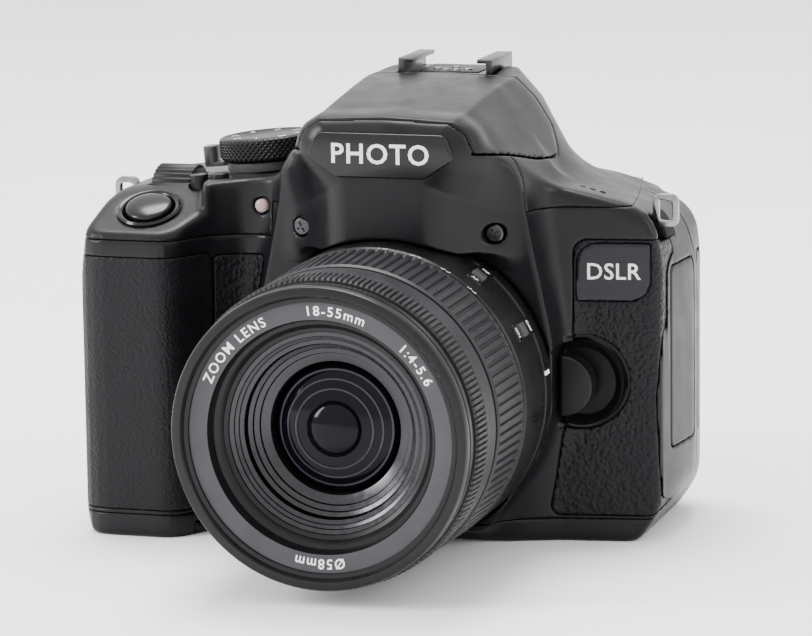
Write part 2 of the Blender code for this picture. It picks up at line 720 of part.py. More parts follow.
def make_lens(plastic, rubber, metal, glass, black):
    r = BARREL_RADIUS
    barrel = turned("lens_barrel", [
        (r - 0.5, -0.4), (r, -1.6), (r, ZOOM_REAR + 0.4), (r - 0.4, ZOOM_REAR), (29.2, ZOOM_REAR),
        (29.2, -40.0), (27.7, -40.0), (27.7, -4.0), (22.0, -4.0), (22.0, 4.6), (25.6, 4.6), (25.6, -0.4),
    ])
    for _, angle, y in SWITCHES:
        cut(barrel, switch_solid("switch_pocket", angle, y, (6.6, 3.4, 1.4), GAP))
    finish(barrel, plastic)
    for name, angle, y in SWITCHES:
        finish(switch_solid(name, angle, y - 1.5, (3.2, 3.0, 1.0), 0.0, 1.2), metal)
    zoom = [(29.5, ZOOM_REAR - GAP), (r, ZOOM_REAR - GAP), (r - 0.6, ZOOM_FRONT), (29.5, ZOOM_FRONT)]
    finish(turned("zoom_ring", zoom), rubber)
    head = [
        (25.0, -18.0), (TUBE_RADIUS, -18.0), (TUBE_RADIUS, -42.0), (29.0, -42.0), (29.0, FOCUS_FRONT - GAP),
        (31.4, FOCUS_FRONT - GAP), (BEZEL_RADIUS, -57.4), (BEZEL_RADIUS, -61.2), (31.5, LENS_FRONT),
        (29.5, LENS_FRONT), (FILTER_RADIUS, -61.2), (FILTER_RADIUS, -60.0), (24.4, -59.4), (24.2, -56.6),
        (18.4, -53.4), (18.2, -51.6), (14.0, -49.6), (14.0, -45.6), (25.0, -40.0),
    ]
    finish(turned("front_barrel", head), plastic)
    focus = [(29.3, FOCUS_FRONT), (32.4, FOCUS_FRONT), (32.6, -50.0), (33.1, ZOOM_FRONT - 0.4),
             (29.3, ZOOM_FRONT - 0.4)]
    finish(turned("focus_ring", focus), rubber)
    lens = [(0, -51.0), (6.5, -50.4), (11.0, -49.0), (13.7, -47.6), (13.7, -46.0), (0, -46.0)]
    finish(turned("front_lens", lens, 32), glass)
    iris = [(24.7, -33.0), (24.7, -29.0), (9.0, -29.0), (9.0, -33.0)]
    finish(turned("aperture_unit", iris, 32), black)
    rear = [(0, -2.0), (21.7, -2.0), (21.7, 2.4), (12.0, 3.6), (0, 4.2)]
    finish(turned("rear_lens_group", rear, 32), glass)


SWITCHES = [("af_switch", math.radians(52), -12.0), ("stabiliser_switch", math.radians(27), -12.0)]


def switch_solid(name, angle, y, size, grow, proud=0.0):
    """A small box on the barrel at an angle about the lens axis: length along Y, width and depth."""
    length, width, depth = size
    turn = Matrix.Rotation(-angle, 3, "Y")
    low = (BARREL_RADIUS - depth - grow, -length / 2 - grow, -width / 2 - grow)
    high = (BARREL_RADIUS + (proud if proud else 4.0), length / 2 + grow, width / 2 + grow)
    return block(name, low, high, (0, y, LENS_Z), turn)


# ---- whole camera -----------------------------------------------------------------------------------


def main():
    clear_scene()
    datum = bpy.data.objects.new("mount_datum", None)
    bpy.context.scene.collection.objects.link(datum)
    datum.location = Vector(DATUM) * MM

    plastic = material("body_plastic", (0.030, 0.031, 0.035), 0.45)
    rubber = material("grip_rubber", (0.022, 0.022, 0.025), 0.75)
    leather = material("panel_leather", (0.025, 0.025, 0.028), 0.6)
    gloss = material("gloss_plastic", (0.01, 0.01, 0.012), 0.15)
    metal = material("bright_metal", (0.60, 0.60, 0.61), 0.3, 1.0)
    glass = material("coated_glass", (0.02, 0.025, 0.04), 0.05)
    black = material("matt_black", (0.01, 0.01, 0.01), 0.9)
    board = material("circuit_board", (0.02, 0.12, 0.05), 0.5)
    clear = material("clear_plastic", (0.7, 0.72, 0.75), 0.2)
    lamp = material("lamp_lens", (0.5, 0.3, 0.28), 0.3)

    form = outer_form()
    make_front_cover(form, plastic)
    make_rear_cover(form, plastic)
    make_bottom_cover(form, plastic)
    make_top_cover(form, plastic)
    make_skins(form, rubber, leather)
    make_badge(form, gloss)
    make_name_plate(gloss)
    make_mount_ring(metal)
    make_mirror_box(black, glass, metal)
    make_prism_block(glass, board, black, metal)
    make_flash(form, plastic, clear)
    make_hot_shoe(metal)
    make_deck_controls(plastic, gloss)
    make_front_details(plastic, lamp)
    make_side_doors(form, rubber)
    make_strap_lugs(metal)
    make_rear_controls(plastic, rubber, clear)
    make_screen(plastic, glass)
    make_battery_door(plastic)
    make_lens(plastic, rubber, metal, glass, black)


main()
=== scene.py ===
"""Looks of the reflex camera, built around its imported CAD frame.

Lengths are millimetres in the lens frame: X = 0 is the lens axis, Y = 0 the lens mount face with the lens
towards -Y, and Z = 0 the base. The mount ring's box gives the way from there to the row frame. The moulded
shells are cut from one distance field, so that their rounded forms run on across the partings.
"""

import functools
import math

import bmesh
import bpy
import numpy as np
from mathutils import Matrix, Vector


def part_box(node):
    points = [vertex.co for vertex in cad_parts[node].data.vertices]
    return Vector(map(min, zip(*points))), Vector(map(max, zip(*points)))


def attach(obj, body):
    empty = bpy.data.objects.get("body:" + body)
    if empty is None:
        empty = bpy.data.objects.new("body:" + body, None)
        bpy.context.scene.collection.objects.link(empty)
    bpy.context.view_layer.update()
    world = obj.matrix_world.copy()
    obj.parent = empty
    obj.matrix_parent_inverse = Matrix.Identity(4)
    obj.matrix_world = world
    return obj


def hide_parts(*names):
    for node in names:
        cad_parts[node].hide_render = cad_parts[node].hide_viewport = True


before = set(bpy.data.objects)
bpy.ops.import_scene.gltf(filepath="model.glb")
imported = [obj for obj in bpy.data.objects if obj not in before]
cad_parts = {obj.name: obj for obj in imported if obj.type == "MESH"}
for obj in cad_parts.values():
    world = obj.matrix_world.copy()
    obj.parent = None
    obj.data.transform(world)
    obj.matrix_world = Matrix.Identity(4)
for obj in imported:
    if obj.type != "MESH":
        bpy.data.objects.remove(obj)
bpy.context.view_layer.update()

MM = 0.001
MOUNT_LOW, MOUNT_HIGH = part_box("lens_mount_ring")
ORIGIN = Vector(((MOUNT_LOW.x + MOUNT_HIGH.x) / 2, MOUNT_LOW.y, 0.0))
LENS_Z = (MOUNT_LOW.z + MOUNT_HIGH.z) / 2 / MM
CELL = 0.42
EDGE = 0.35
SEAM_EDGE = 0.10
GAP = 0.3
SEAM = 0.04
RUBBER_DEPTH, LEATHER_DEPTH, FLANK_DEPTH = 1.3, 1.0, 0.8

LEFT, RIGHT, REAR = -73.5, 57.3, 55.0
SCREEN_BED = 51.5
BASE_TOP = 5.15
SIDE_SPLIT_Y, GRIP_SPLIT_Z, DECK_SPLIT_Z = 38.15, 66.35, 74.15
DECK_TILT, PLATEAU_TILT = math.radians(-5.0), math.radians(24.3)
DIAL_AT, DIAL_RADIUS = (-38.3, 24.2, 80.6), 11.0
WHEEL_AT, WHEEL_RADIUS, WHEEL_WIDTH = (-57.5, 18.0, 71.0), 8.6, 9.0
RELEASE_AT, RELEASE_RADIUS = (-58.3, -0.4, 72.6), 5.2
LENS_RELEASE, POCKET_RADIUS = (37.4, 35.7), 9.4
RELEASE_BUTTON, RELEASE_FLAT = (34.6, 35.7), 33.9
FLASH_AXIS = (30.5, 97.6)
TOP_BUTTONS = ((-44.8, 8.8), (-50.0, 10.0))
SCREW_X, SCREW_Z = 21.7, 69.9
LAMP_AT = (-33.8, 5.0, 72.8)
SHOE_Y, SHOE_FLOOR = 43.5, 99.2
HATCH_LOW, HATCH_HIGH = (-68, -4), (-42.5, 31)
DOOR_BOTTOM, DOOR_TOP = 20, 60
FRONT_DOOR_Y, REAR_DOOR_Y = 19.0, 40.5
PAD_AT, EYE_Z, DIOPTER_AT = (-44.0, 34.0), 80.4, (20.6, 77.6)
REAR_BUTTONS = {
    "menu_button": (38.0, 70.2, 1.9), "info_button": (31.0, 70.2, 1.9),
    "live_view_button": (-30.4, 69.0, 2.2), "af_on_button": (-42.5, 66.0, 2.0),
    "ae_lock_button": (-56.0, 68.0, 1.9), "quick_button": (-34.0, 52.0, 1.9),
    "playback_button": (-34.4, 18.0, 2.1), "erase_button": (-48.0, 16.0, 2.1),
}


# ---- distance fields ----


class Space:
    """Three arrays of coordinates in millimetres that broadcast to a grid of points."""

    def __init__(self, x, y, z):
        self.x, self.y, self.z = x, y, z

    def crop(self, low, high):
        """The part of the grid inside a box, and the slices that take it out of a field."""
        picks = []
        for values, a, b in zip((self.x, self.y, self.z), low, high):
            flat = values.ravel()
            picks.append(slice(int(np.searchsorted(flat, a)), int(np.searchsorted(flat, b))))
        i, j, k = picks
        return Space(self.x[i], self.y[:, j], self.z[:, :, k]), (i, j, k)


def span(low, high):
    return np.arange(low, high, CELL, dtype=np.float32)


def make_space(low, high):
    x, y, z = (span(a, b) for a, b in zip(low, high))
    return Space(x[:, None, None], y[None, :, None], z[None, None, :])


def both(a, b, soft=EDGE):
    """Where both fields are inside, with the edge between them rounded over a width."""
    blend = np.maximum(soft - np.abs(a - b), 0) / soft
    return np.maximum(a, b) + blend * blend * (soft / 4)


def either(a, b, soft=EDGE):
    return -both(-a, -b, soft)


def without(a, b, soft=EDGE):
    return both(a, -b, soft)


def any_of(*fields):
    return functools.reduce(np.minimum, fields)


def rounded(points, steps=5):
    """An outline whose corners (a, b, radius) are arcs. A radius of 0 keeps the corner sharp."""
    outline = []
    for i, (a, b, radius) in enumerate(points):
        corner = Vector((a, b))
        before = (Vector(points[i - 1][:2]) - corner).normalized()
        after = (Vector(points[(i + 1) % len(points)][:2]) - corner).normalized()
        if radius == 0:
            outline.append((a, b))
            continue
        half = before.angle(after) / 2
        middle = corner + (before + after).normalized() * radius / math.sin(half)
        start = corner + before * radius / math.tan(half) - middle
        sweep = start.angle_signed(corner + after * radius / math.tan(half) - middle)
        for k in range(steps + 1):
            outline.append(tuple(middle + Matrix.Rotation(-sweep * k / steps, 2) @ start))
    return outline


def panel(low, high, radius):
    """The outline of a rectangle between two corners, with rounded corners of its own."""
    return rounded([(*low, radius), (high[0], low[1], radius), (*high, radius), (low[0], high[1], radius)])


def polygon(outline, u, v):
    """Signed distance from points (u, v) to a closed outline, negative inside."""
    u, v = np.broadcast_arrays(u, v)
    best = np.full(u.shape, 1e9, np.float32)
    inside = np.zeros(u.shape, bool)
    for (a0, b0), (a1, b1) in zip(outline, outline[1:] + outline[:1]):
        du, dv = a1 - a0, b1 - b0
        if du * du + dv * dv < 1e-9:
            continue
        along = np.clip(((u - a0) * du + (v - b0) * dv) / (du * du + dv * dv), 0, 1)
        best = np.minimum(best, (u - a0 - along * du) ** 2 + (v - b0 - along * dv) ** 2)
        if dv:
            inside ^= ((b0 > v) != (b1 > v)) & (u < a0 + (v - b0) * du / dv)
    return (np.where(inside, -1, 1) * np.sqrt(best)).astype(np.float32)


def slab(values, low, high):
    return np.maximum(low - values, values - high)


def box(s, low, high):
    x, y, z = slab(s.x, low[0], high[0]), slab(s.y, low[1], high[1]), slab(s.z, low[2], high[2])
    return np.maximum(np.maximum(x, y), z)


def y_disc(s, middle, radius, low, high):
    """A disc about a line along Y through (x, z)."""
    radial = np.sqrt((s.x - middle[0]) ** 2 + (s.z - middle[1]) ** 2) - radius
    return np.maximum(radial, slab(s.y, low, high))


def disc(s, at, direction, radius, low, high):
    """A disc about any direction, from low to high along it."""
    dx, dy, dz = s.x - at[0], s.y - at[1], s.z - at[2]
    along = dx * direction[0] + dy * direction[1] + dz * direction[2]
    radial = np.sqrt(np.maximum(dx * dx + dy * dy + dz * dz - along * along, 0)) - radius
    return np.maximum(radial, slab(along, low, high))


DECK_UP = tuple(Matrix.Rotation(DECK_TILT, 3, "Y") @ Vector((0, 0, 1)))
PLATEAU_UP = tuple(Matrix.Rotation(PLATEAU_TILT, 3, "X") @ Vector((0, 0, 1)))


def plane(s, at, normal):
    """Distance above a plane through a point, for a normal of any length."""
    length = math.sqrt(sum(n * n for n in normal))
    return sum((v - p) * n for v, p, n in zip((s.x, s.y, s.z), at, normal)) / length


# ---- outer form of the body ----

CORE_PLAN = [
    (-66, 5.0, 0), (22.0, 5.0, 8), (33.0, 8.9, 10), (54.4, 12.3, 2.5), (RIGHT, 34, 14),
    (54.4, SCREEN_BED, 4), (46.8, SCREEN_BED, 0), (46.8, REAR, 2), (-61, REAR, 9), (-72.8, 47, 9),
    (LEFT, 20, 3),
]
GRIP_PLAN = [(LEFT, -9.8, 7.5), (-50.5, -9.8, 7), (-42.5, 4.0, 4), (-40.0, 24, 3), (LEFT, 24, 3)]
FRONT_OUTLINE = [
    (LEFT + 2.2, -9, 0), (LEFT + 2.2, 0, 3), (LEFT, 5.5, 6), (LEFT, 57, 14), (-69.4, 74.8, 4.5),
    (-50, 77.9, 0), (-27, 80.1, 0), (30, 79.0, 5), (51.0, 75.0, 8), (57.2, 58, 12), (RIGHT + 0.2, 30, 0),
    (RIGHT + 0.2, 12.0, 8), (RIGHT - 8.0, 0, 4), (RIGHT - 8.0, -9, 0),
]
HUMP_RINGS = [
    (-14.8, (11, 17.6, 16.2, 13.4), (80.8, 87.2, 92.6, 94.0)),
    (-12.6, (13, 19.6, 18.2, 14.6), (79.6, 87.0, 93.0, 94.8)),
    (-3.0, (22, 24.4, 19.4, 15.8), (74.6, 84.2, 92.8, 95.9)),
    (10, (28, 26.2, 19.8, 16.0), (72.0, 84.0, 93.8, 97.5)),
    (22, (33, 27.6, 20.6, 16.4), (72.0, 84.0, 94.4, 98.6)),
    (34, (35, 27.8, 21.2, 16.6), (72.0, 84.0, 94.6, 99.2)),
    (50, (30, 23.0, 18.4, 12.6), (72.0, 82.0, 91.8, 98.0)),
    (57, (21, 19.0, 16.4, 11.4), (73.0, 80.0, 87.4, 91.6)),
]
RING_RADII = (0, 7.0, 6.0, 0.9)
BULGE_HALF = [(19.0, 3.4, 6), (30.6, 22, 30), (35.2, 36, 40), (33.0, 50, 60), (25.8, 84.0, 6)]


def mirrored(half):
    return half + [(-x, z, r) for x, z, r in half[::-1]]


def hermite(at, places, values):
    """A smooth curve through values at places, read at one place."""
    slopes = np.gradient(values, places)
    i = int(np.clip(np.searchsorted(places, at) - 1, 0, len(places) - 2))
    width = places[i + 1] - places[i]
    t = (at - places[i]) / width
    start, end = values[i], values[i + 1]
    return ((2 * t**3 - 3 * t**2 + 1) * start + (t**3 - 2 * t**2 + t) * width * slopes[i]
            + (3 * t**2 - 2 * t**3) * end + (t**3 - t**2) * width * slopes[i + 1])


def hump_section(y):
    """Outline of the hump across the camera at a place along Y."""
    places = [ring[0] for ring in HUMP_RINGS]
    half = [(0, 66, 0), (34, 66, 0)]
    for i, radius in enumerate(RING_RADII):
        width = hermite(y, places, [ring[1][i] for ring in HUMP_RINGS])
        half.append((width, hermite(y, places, [ring[2][i] for ring in HUMP_RINGS]), radius))
    half[1] = (half[2][0], 66, 0)
    half.append((0, half[-1][1] + 0.7, 0))
    left = [(-x, z, r) for x, z, r in half[-2:0:-1]]
    return rounded(half[1:] + left, 4)


def hump(s):
    places = s.y.ravel()
    inner, (i, _, k) = s.crop((-44, -99, 62), (44, 99, 110))
    field = np.full(np.broadcast_shapes(s.x.shape, s.y.shape, s.z.shape), 40.0, np.float32)
    for j, y in enumerate(places):
        section = hump_section(float(np.clip(y, -14.8, 57.0)))
        field[i, j, k] = polygon(section, inner.x[:, 0], inner.z[0])
    return both(field, slab(s.y, -14.8, 57.0), 3.2)


def make_body(s):
    """Distance field of the whole body, closed and without its details."""
    plan = either(polygon(rounded(CORE_PLAN), s.x, s.y), polygon(rounded(GRIP_PLAN), s.x, s.y), 7.0)
    body = both(plan, polygon(rounded(FRONT_OUTLINE), s.x, s.z), 2.2)
    plateau = both(-plane(s, (0, -9.8, 67.6), PLATEAU_UP), plane(s, (-48.4, 8, 0), (1, 0.32, 0)), 1.6)
    body = without(body, plateau, 1.8)
    rear = both(-plane(s, (20, 12, 79.2), (0, 0.0594, 1)), -(s.x + 5), 2)
    body = without(body, rear, 1.4)
    body = both(body, plane(s, (41, 50, 74.9), (0.42, 0.1075, 1)), 5)
    body = both(body, plane(s, (-27, 8, 79.9), (-0.05, 0.06, 1)), 2)
    bulge = both(polygon(rounded(mirrored(BULGE_HALF)), s.x, s.z), slab(s.y, -1.5, 14.0), 0.8)
    body = either(body, bulge, 7.0)
    body = either(body, hump(s), 6.0)
    boss = both(y_disc(s, LENS_RELEASE, POCKET_RADIUS + 0.9, 6.4, 13.0), -(s.x - 30), 0.6)
    return both(either(body, boss, 0.8), -s.z, 1.6)


SPACE = make_space((LEFT - 3, -18, -3), (RIGHT + 3, 61, 103))
BODY = make_body(SPACE)


# ---- surfaces from fields ----

CORNERS = [(a, b, c) for a in (0, 1) for b in (0, 1) for c in (0, 1)]
EDGES = [(p, q) for p in CORNERS for q in CORNERS if sum(abs(a - b) for a, b in zip(p, q)) == 1 and p < q]


def surface_points(field, cells):
    """One point in each cell that the surface crosses: the middle of its crossings of the cell's edges."""
    total = np.zeros((len(cells[0]), 3), np.float32)
    count = np.zeros((len(cells[0]), 1), np.float32)
    for p, q in EDGES:
        here = field[cells[0] + p[0], cells[1] + p[1], cells[2] + p[2]]
        there = field[cells[0] + q[0], cells[1] + q[1], cells[2] + q[2]]
        crosses = (here < 0) != (there < 0)
        part = np.where(crosses, here / np.where(crosses, here - there, 1), 0)[:, None]
        step = np.array(q, np.float32) - np.array(p, np.float32)
        total += np.where(crosses[:, None], np.array(p, np.float32) + part * step, 0)
        count += crosses[:, None]
    return total / count + np.stack(cells, 1)


def surface_quads(inside, index):
    """The quads round every grid edge that passes through the surface, facing out."""
    quads = []
    for axis in range(3):
        ends = [slice(None)] * 3
        starts = [slice(None)] * 3
        starts[axis], ends[axis] = slice(0, -1), slice(1, None)
        enters = inside[tuple(starts)] != inside[tuple(ends)]
        i, j, k = np.nonzero(enters)
        outward = inside[tuple(starts)][i, j, k]
        place = [i, j, k]
        b, c = (axis + 1) % 3, (axis + 2) % 3
        ring = []
        for db, dc in ((-1, -1), (0, -1), (0, 0), (-1, 0)):
            cell = list(place)
            cell[b] = cell[b] + db
            cell[c] = cell[c] + dc
            ring.append(index[cell[0], cell[1], cell[2]])
        ring = np.stack(ring, 1)
        quads.append(np.where(outward[:, None], ring, ring[:, ::-1]))
    return np.concatenate(quads)


def to_mesh(name, points, quads):
    mesh = bpy.data.meshes.new(name)
    mesh.vertices.add(len(points))
    mesh.vertices.foreach_set("co", (points * MM + np.array(ORIGIN)).astype(np.float32).ravel())
    mesh.loops.add(quads.size)
    mesh.loops.foreach_set("vertex_index", quads.ravel().astype(np.int32))
    mesh.polygons.add(len(quads))
    mesh.polygons.foreach_set("loop_start", np.arange(0, quads.size, 4, dtype=np.int32))
    mesh.update(calc_edges=True)
    mesh.shade_smooth()
    return mesh


def link(name, data):
    made = bpy.data.objects.new(name, data)
    bpy.context.scene.collection.objects.link(made)
    return made


def surface(name, field, s):
    """The zero surface of a field as an object. The field's rim is taken as outside."""
    rim = np.ones(field.shape, bool)
    rim[1:-1, 1:-1, 1:-1] = False
    field = np.where(rim, np.maximum(field, 0.01), field)
    inside = field < 0
    folded = [inside[a:a + inside.shape[0] - 1, b:b + inside.shape[1] - 1, c:c + inside.shape[2] - 1]
              for a, b, c in CORNERS]
    crossed = np.logical_or.reduce(folded) & ~np.logical_and.reduce(folded)
    cells = np.nonzero(crossed)
    index = np.full(crossed.shape, -1, np.int32)
    index[cells] = np.arange(len(cells[0]), dtype=np.int32)
    low = np.array([s.x.ravel()[0], s.y.ravel()[0], s.z.ravel()[0]])
    return link(name, to_mesh(name, surface_points(field, cells) * CELL + low, surface_quads(inside, index)))


def evaluated(made):
    """A new mesh of an object as its modifiers leave it."""
    graph = bpy.context.evaluated_depsgraph_get()
    return bpy.data.meshes.new_from_object(made.evaluated_get(graph))


def thin_out(made, share):
    """Fewer faces where the surface is flat enough to do without."""
    modifier = made.modifiers.new("thin", "DECIMATE")
    modifier.ratio = share
    mesh = evaluated(made)
    made.modifiers.clear()
    made.data = mesh
    mesh.shade_smooth()
    return made


# ---- materials ----


class Look:
    """A node material under construction, with its Principled shader at hand."""

    def __init__(self, name, colour, roughness, metallic=0.0, **sockets):
        self.material = bpy.data.materials.new(name)
        self.material.use_nodes = True
        self.tree = self.material.node_tree
        self.shader = self.tree.nodes["Principled BSDF"]
        self.shader.inputs["Base Color"].default_value = (*colour, 1)
        self.shader.inputs["Roughness"].default_value = roughness
        self.shader.inputs["Metallic"].default_value = metallic
        for socket, value in sockets.items():
            self.shader.inputs[socket.replace("_", " ")].default_value = value
        self.colour, self.roughness = colour, roughness
        self.place = self.tree.nodes.new("ShaderNodeTexCoord").outputs["Object"]
        self.height = None

    def node(self, kind, **values):
        made = self.tree.nodes.new(kind)
        for name, value in values.items():
            setattr(made, name, value)
        return made

    def join(self, output, made, socket):
        self.tree.links.new(output, made.inputs[socket])

    def noise(self, size, detail=3.0):
        """Soft noise with features of a size in millimetres."""
        made = self.node("ShaderNodeTexNoise")
        made.inputs["Scale"].default_value = 1 / (size * MM)
        made.inputs["Detail"].default_value = detail
        self.join(self.place, made, "Vector")
        return made.outputs["Fac"]

    def cells(self, size, feature="SMOOTH_F1"):
        made = self.node("ShaderNodeTexVoronoi", feature=feature)
        made.inputs["Scale"].default_value = 1 / (size * MM)
        self.join(self.place, made, "Vector")
        return made.outputs["Distance"]

    def ramp(self, value, low, high, first, last):
        made = self.node("ShaderNodeMapRange")
        for socket, number in zip(("From Min", "From Max", "To Min", "To Max"), (low, high, first, last)):
            made.inputs[socket].default_value = number
        self.join(value, made, "Value")
        return made.outputs["Result"]

    def vary(self, value, spread, rough_spread=0.06):
        """Lets a pattern shade the colour and the roughness a little."""
        mix = self.node("ShaderNodeMix", data_type="RGBA")
        mix.inputs["A"].default_value = (*[c * (1 - spread) for c in self.colour], 1)
        mix.inputs["B"].default_value = (*[c * (1 + spread) for c in self.colour], 1)
        self.join(self.ramp(value, 0.3, 0.7, 0, 1), mix, "Factor")
        self.join(mix.outputs["Result"], self.shader, "Base Color")
        rough = self.ramp(value, 0.3, 0.7, self.roughness - rough_spread, self.roughness + rough_spread)
        self.join(rough, self.shader, "Roughness")
        return self

    def bump(self, value, depth):
        """Relief of a depth in millimetres. A second call lies on top of the first."""
        made = self.node("ShaderNodeBump")
        made.inputs["Strength"].default_value = 1.0
        made.inputs["Distance"].default_value = depth * MM
        self.join(value, made, "Height")
        if self.height:
            self.join(self.height, made, "Normal")
        self.height = made.outputs["Normal"]
        self.join(self.height, self.shader, "Normal")
        return self


def moulded(name, colour, roughness, grain=0.35, depth=0.02):
    look = Look(name, colour, roughness, Specular_IOR_Level=0.20)
    return look.vary(look.noise(6.0, 4), 0.10).bump(look.noise(grain, 2), depth).material


def textured_rubber(name, colour, size, depth, roughness=0.62):
    look = Look(name, colour, roughness, Specular_IOR_Level=0.16)
    look.vary(look.noise(9.0, 4), 0.12).bump(look.noise(0.5, 3), depth * 0.4)
    return look.bump(look.cells(size), -depth).material


def brushed(name, colour, roughness):
    look = Look(name, colour, roughness, 1.0)
    return look.vary(look.noise(1.5, 5), 0.08).bump(look.noise(0.25, 2), 0.004).material


def polished(name, colour, roughness, **sockets):
    look = Look(name, colour, roughness, sockets.pop("Metallic", 0.0), **sockets)
    return look.vary(look.noise(12.0, 3), 0.05, 0.02).bump(look.noise(3.0, 2), 0.004).material


DULL = {"Specular_IOR_Level": 0.30}
PLASTIC = moulded("charcoal_plastic", (0.0042, 0.0042, 0.0054), 0.34)
DARK_PLASTIC = moulded("black_plastic", (0.0045, 0.0045, 0.0052), 0.40, 0.3, 0.01)
RUBBER = textured_rubber("grip_rubber", (0.0050, 0.0050, 0.0062), 0.62, 0.16, 0.44)
LEATHER = textured_rubber("pebbled_leather", (0.0052, 0.0052, 0.0066), 0.90, 0.34, 0.36)
RIB_RUBBER = moulded("ring_rubber", (0.0160, 0.0160, 0.0180), 0.42, 0.4, 0.02)
GLOSS = polished("gloss_black", (0.004, 0.004, 0.005), 0.20, **DULL)
PLATE = moulded("satin_plate", (0.012, 0.012, 0.015), 0.26, 0.3, 0.006)
BARREL_BLACK = moulded("barrel_satin", (0.0060, 0.0060, 0.0068), 0.30, 0.3, 0.006)
BAND = moulded("inscription_band", (0.042, 0.042, 0.046), 0.34, 0.25, 0.006)
BAFFLE = brushed("baffle_rings", (0.040, 0.040, 0.043), 0.26)
MATT = moulded("matt_black", (0.003, 0.003, 0.003), 0.80, 0.4, 0.01)
WHITE = moulded("white_print", (0.78, 0.78, 0.78), 0.50, 0.2, 0.002)
GREY_PRINT = moulded("grey_print", (0.34, 0.34, 0.35), 0.50, 0.2, 0.002)
SWITCH_GREY = moulded("switch_grey", (0.045, 0.045, 0.048), 0.34, 0.3, 0.006)
LAMP = polished("lamp_lens", (0.34, 0.24, 0.24), 0.22, **DULL)
COATED = polished("coated_glass", (0.0022, 0.0018, 0.0036), 0.09, Specular_IOR_Level=0.12)
INNER_GLASS = polished("inner_glass", (0.012, 0.009, 0.016), 0.12, **DULL)
SCREEN = polished("screen_glass", (0.004, 0.004, 0.005), 0.07)
MIRROR = polished("mirror_silver", (0.85, 0.86, 0.88), 0.03, Metallic=1.0)
BOARD = moulded("circuit_board", (0.015, 0.09, 0.04), 0.45, 1.2, 0.05)
WINDOW = polished("flash_diffuser", (0.62, 0.64, 0.66), 0.24)
STEEL = brushed("bright_steel", (0.22, 0.22, 0.23), 0.24)
DARK_METAL = brushed("dark_metal", (0.060, 0.060, 0.064), 0.32)


# ---- placing pieces ----


def paint(mesh, *materials):
    mesh.materials.clear()
    for material in materials:
        mesh.materials.append(material)


def fit(made, material, body, *nodes, slot="body_plastic"):
    """Gives a piece its material and body, and hides the CAD nodes that it stands for. The slot is not used.
    """
    paint(made.data, material)
    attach(made, body)
    if nodes:
        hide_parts(*nodes)
    return made


def carve(name, low, high, region, *cuts, share=0.4):
    """A moulded piece: the body's field within a region, less some cuts, in a box of the grid."""
    s, picks = SPACE.crop(low, high)
    field = both(BODY[picks], region(s), SEAM_EDGE)
    for cutter in cuts:
        field = without(field, cutter(s), EDGE)
    return thin_out(surface(name, field, s), share)


# ---- turned pieces and lettering ----

LATHE_STEPS = 192
SHARP_EDGE = math.radians(30)
LENS_PLACE = Matrix.Translation((0, 0, LENS_Z)) @ Matrix.Rotation(math.radians(-90), 4, "X")


def spin(profile, wave, steps, place):
    """Points and quads of a closed profile (radius, height) turned about an axis, as one closed body.

    The axis is the local Z of place. A wave takes the angles and the profile's index and gives what is added
    to the radius there.
    """
    angles = np.arange(steps) * (2 * math.pi / steps)
    count = len(profile)
    points = np.zeros((steps, count, 3))
    turn, shift = np.array(place.to_3x3()), np.array(place.translation)
    for i, (radius, height) in enumerate(profile):
        reach = radius + (wave(angles, i) if wave else 0.0)
        ring = np.stack([reach * np.cos(angles), reach * np.sin(angles), np.full(steps, height)], 1)
        points[:, i] = ring @ turn.T + shift
    here = np.arange(steps)[:, None] * count + np.arange(count)[None, :]
    ahead = np.roll(here, -1, 0)
    ring = (here, np.roll(here, -1, 1), np.roll(ahead, -1, 1), ahead)
    return points.reshape(-1, 3), np.stack([part.ravel() for part in ring], 1)


def turned(name, profile, steps=LATHE_STEPS, sharp=28, place=LENS_PLACE, wave=None):
    """A turned piece, smooth but for edges that are sharper than an angle in degrees."""
    points, quads = spin(profile, wave, steps, place)
    made = link(name, to_mesh(name, points, quads))
    outward(made.data)
    made.data.set_sharp_from_angle(angle=math.radians(sharp))
    return made


def outward(mesh):
    """Merges doubled points, such as those on an axis, and turns every face outwards."""
    work = bmesh.new()
    work.from_mesh(mesh)
    bmesh.ops.remove_doubles(work, verts=work.verts, dist=1e-6)
    bmesh.ops.dissolve_degenerate(work, edges=work.edges, dist=1e-7)
    bmesh.ops.recalc_face_normals(work, faces=work.faces)
    work.to_mesh(mesh)
    work.free()


def modified(made, kind, **values):
    """Applies one modifier and shades the result smooth but for its sharp edges."""
    modifier = made.modifiers.new(kind.lower(), kind)
    for name, value in values.items():
        setattr(modifier, name, value)
    mesh = evaluated(made)
    made.modifiers.clear()
    made.data = mesh
    mesh.shade_smooth()
    mesh.set_sharp_from_angle(angle=SHARP_EDGE)
    return made


def bevelled(made, width, segments, angle):
    """Rounds the edges that turn by more than an angle in degrees, over a width in millimetres."""
    return modified(made, "BEVEL", width=width * MM, segments=segments, limit_method="ANGLE",
                    angle_limit=math.radians(angle))


def softened(node, width, material, body, steps=3, slot="body_plastic"):
    """A copy of a CAD node with rounded edges, which stands for it."""
    made = link(node + "_soft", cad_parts[node].data.copy())
    outward(made.data)
    bevelled(made, width, steps, 32)
    return fit(made, material, body, node, slot=slot)


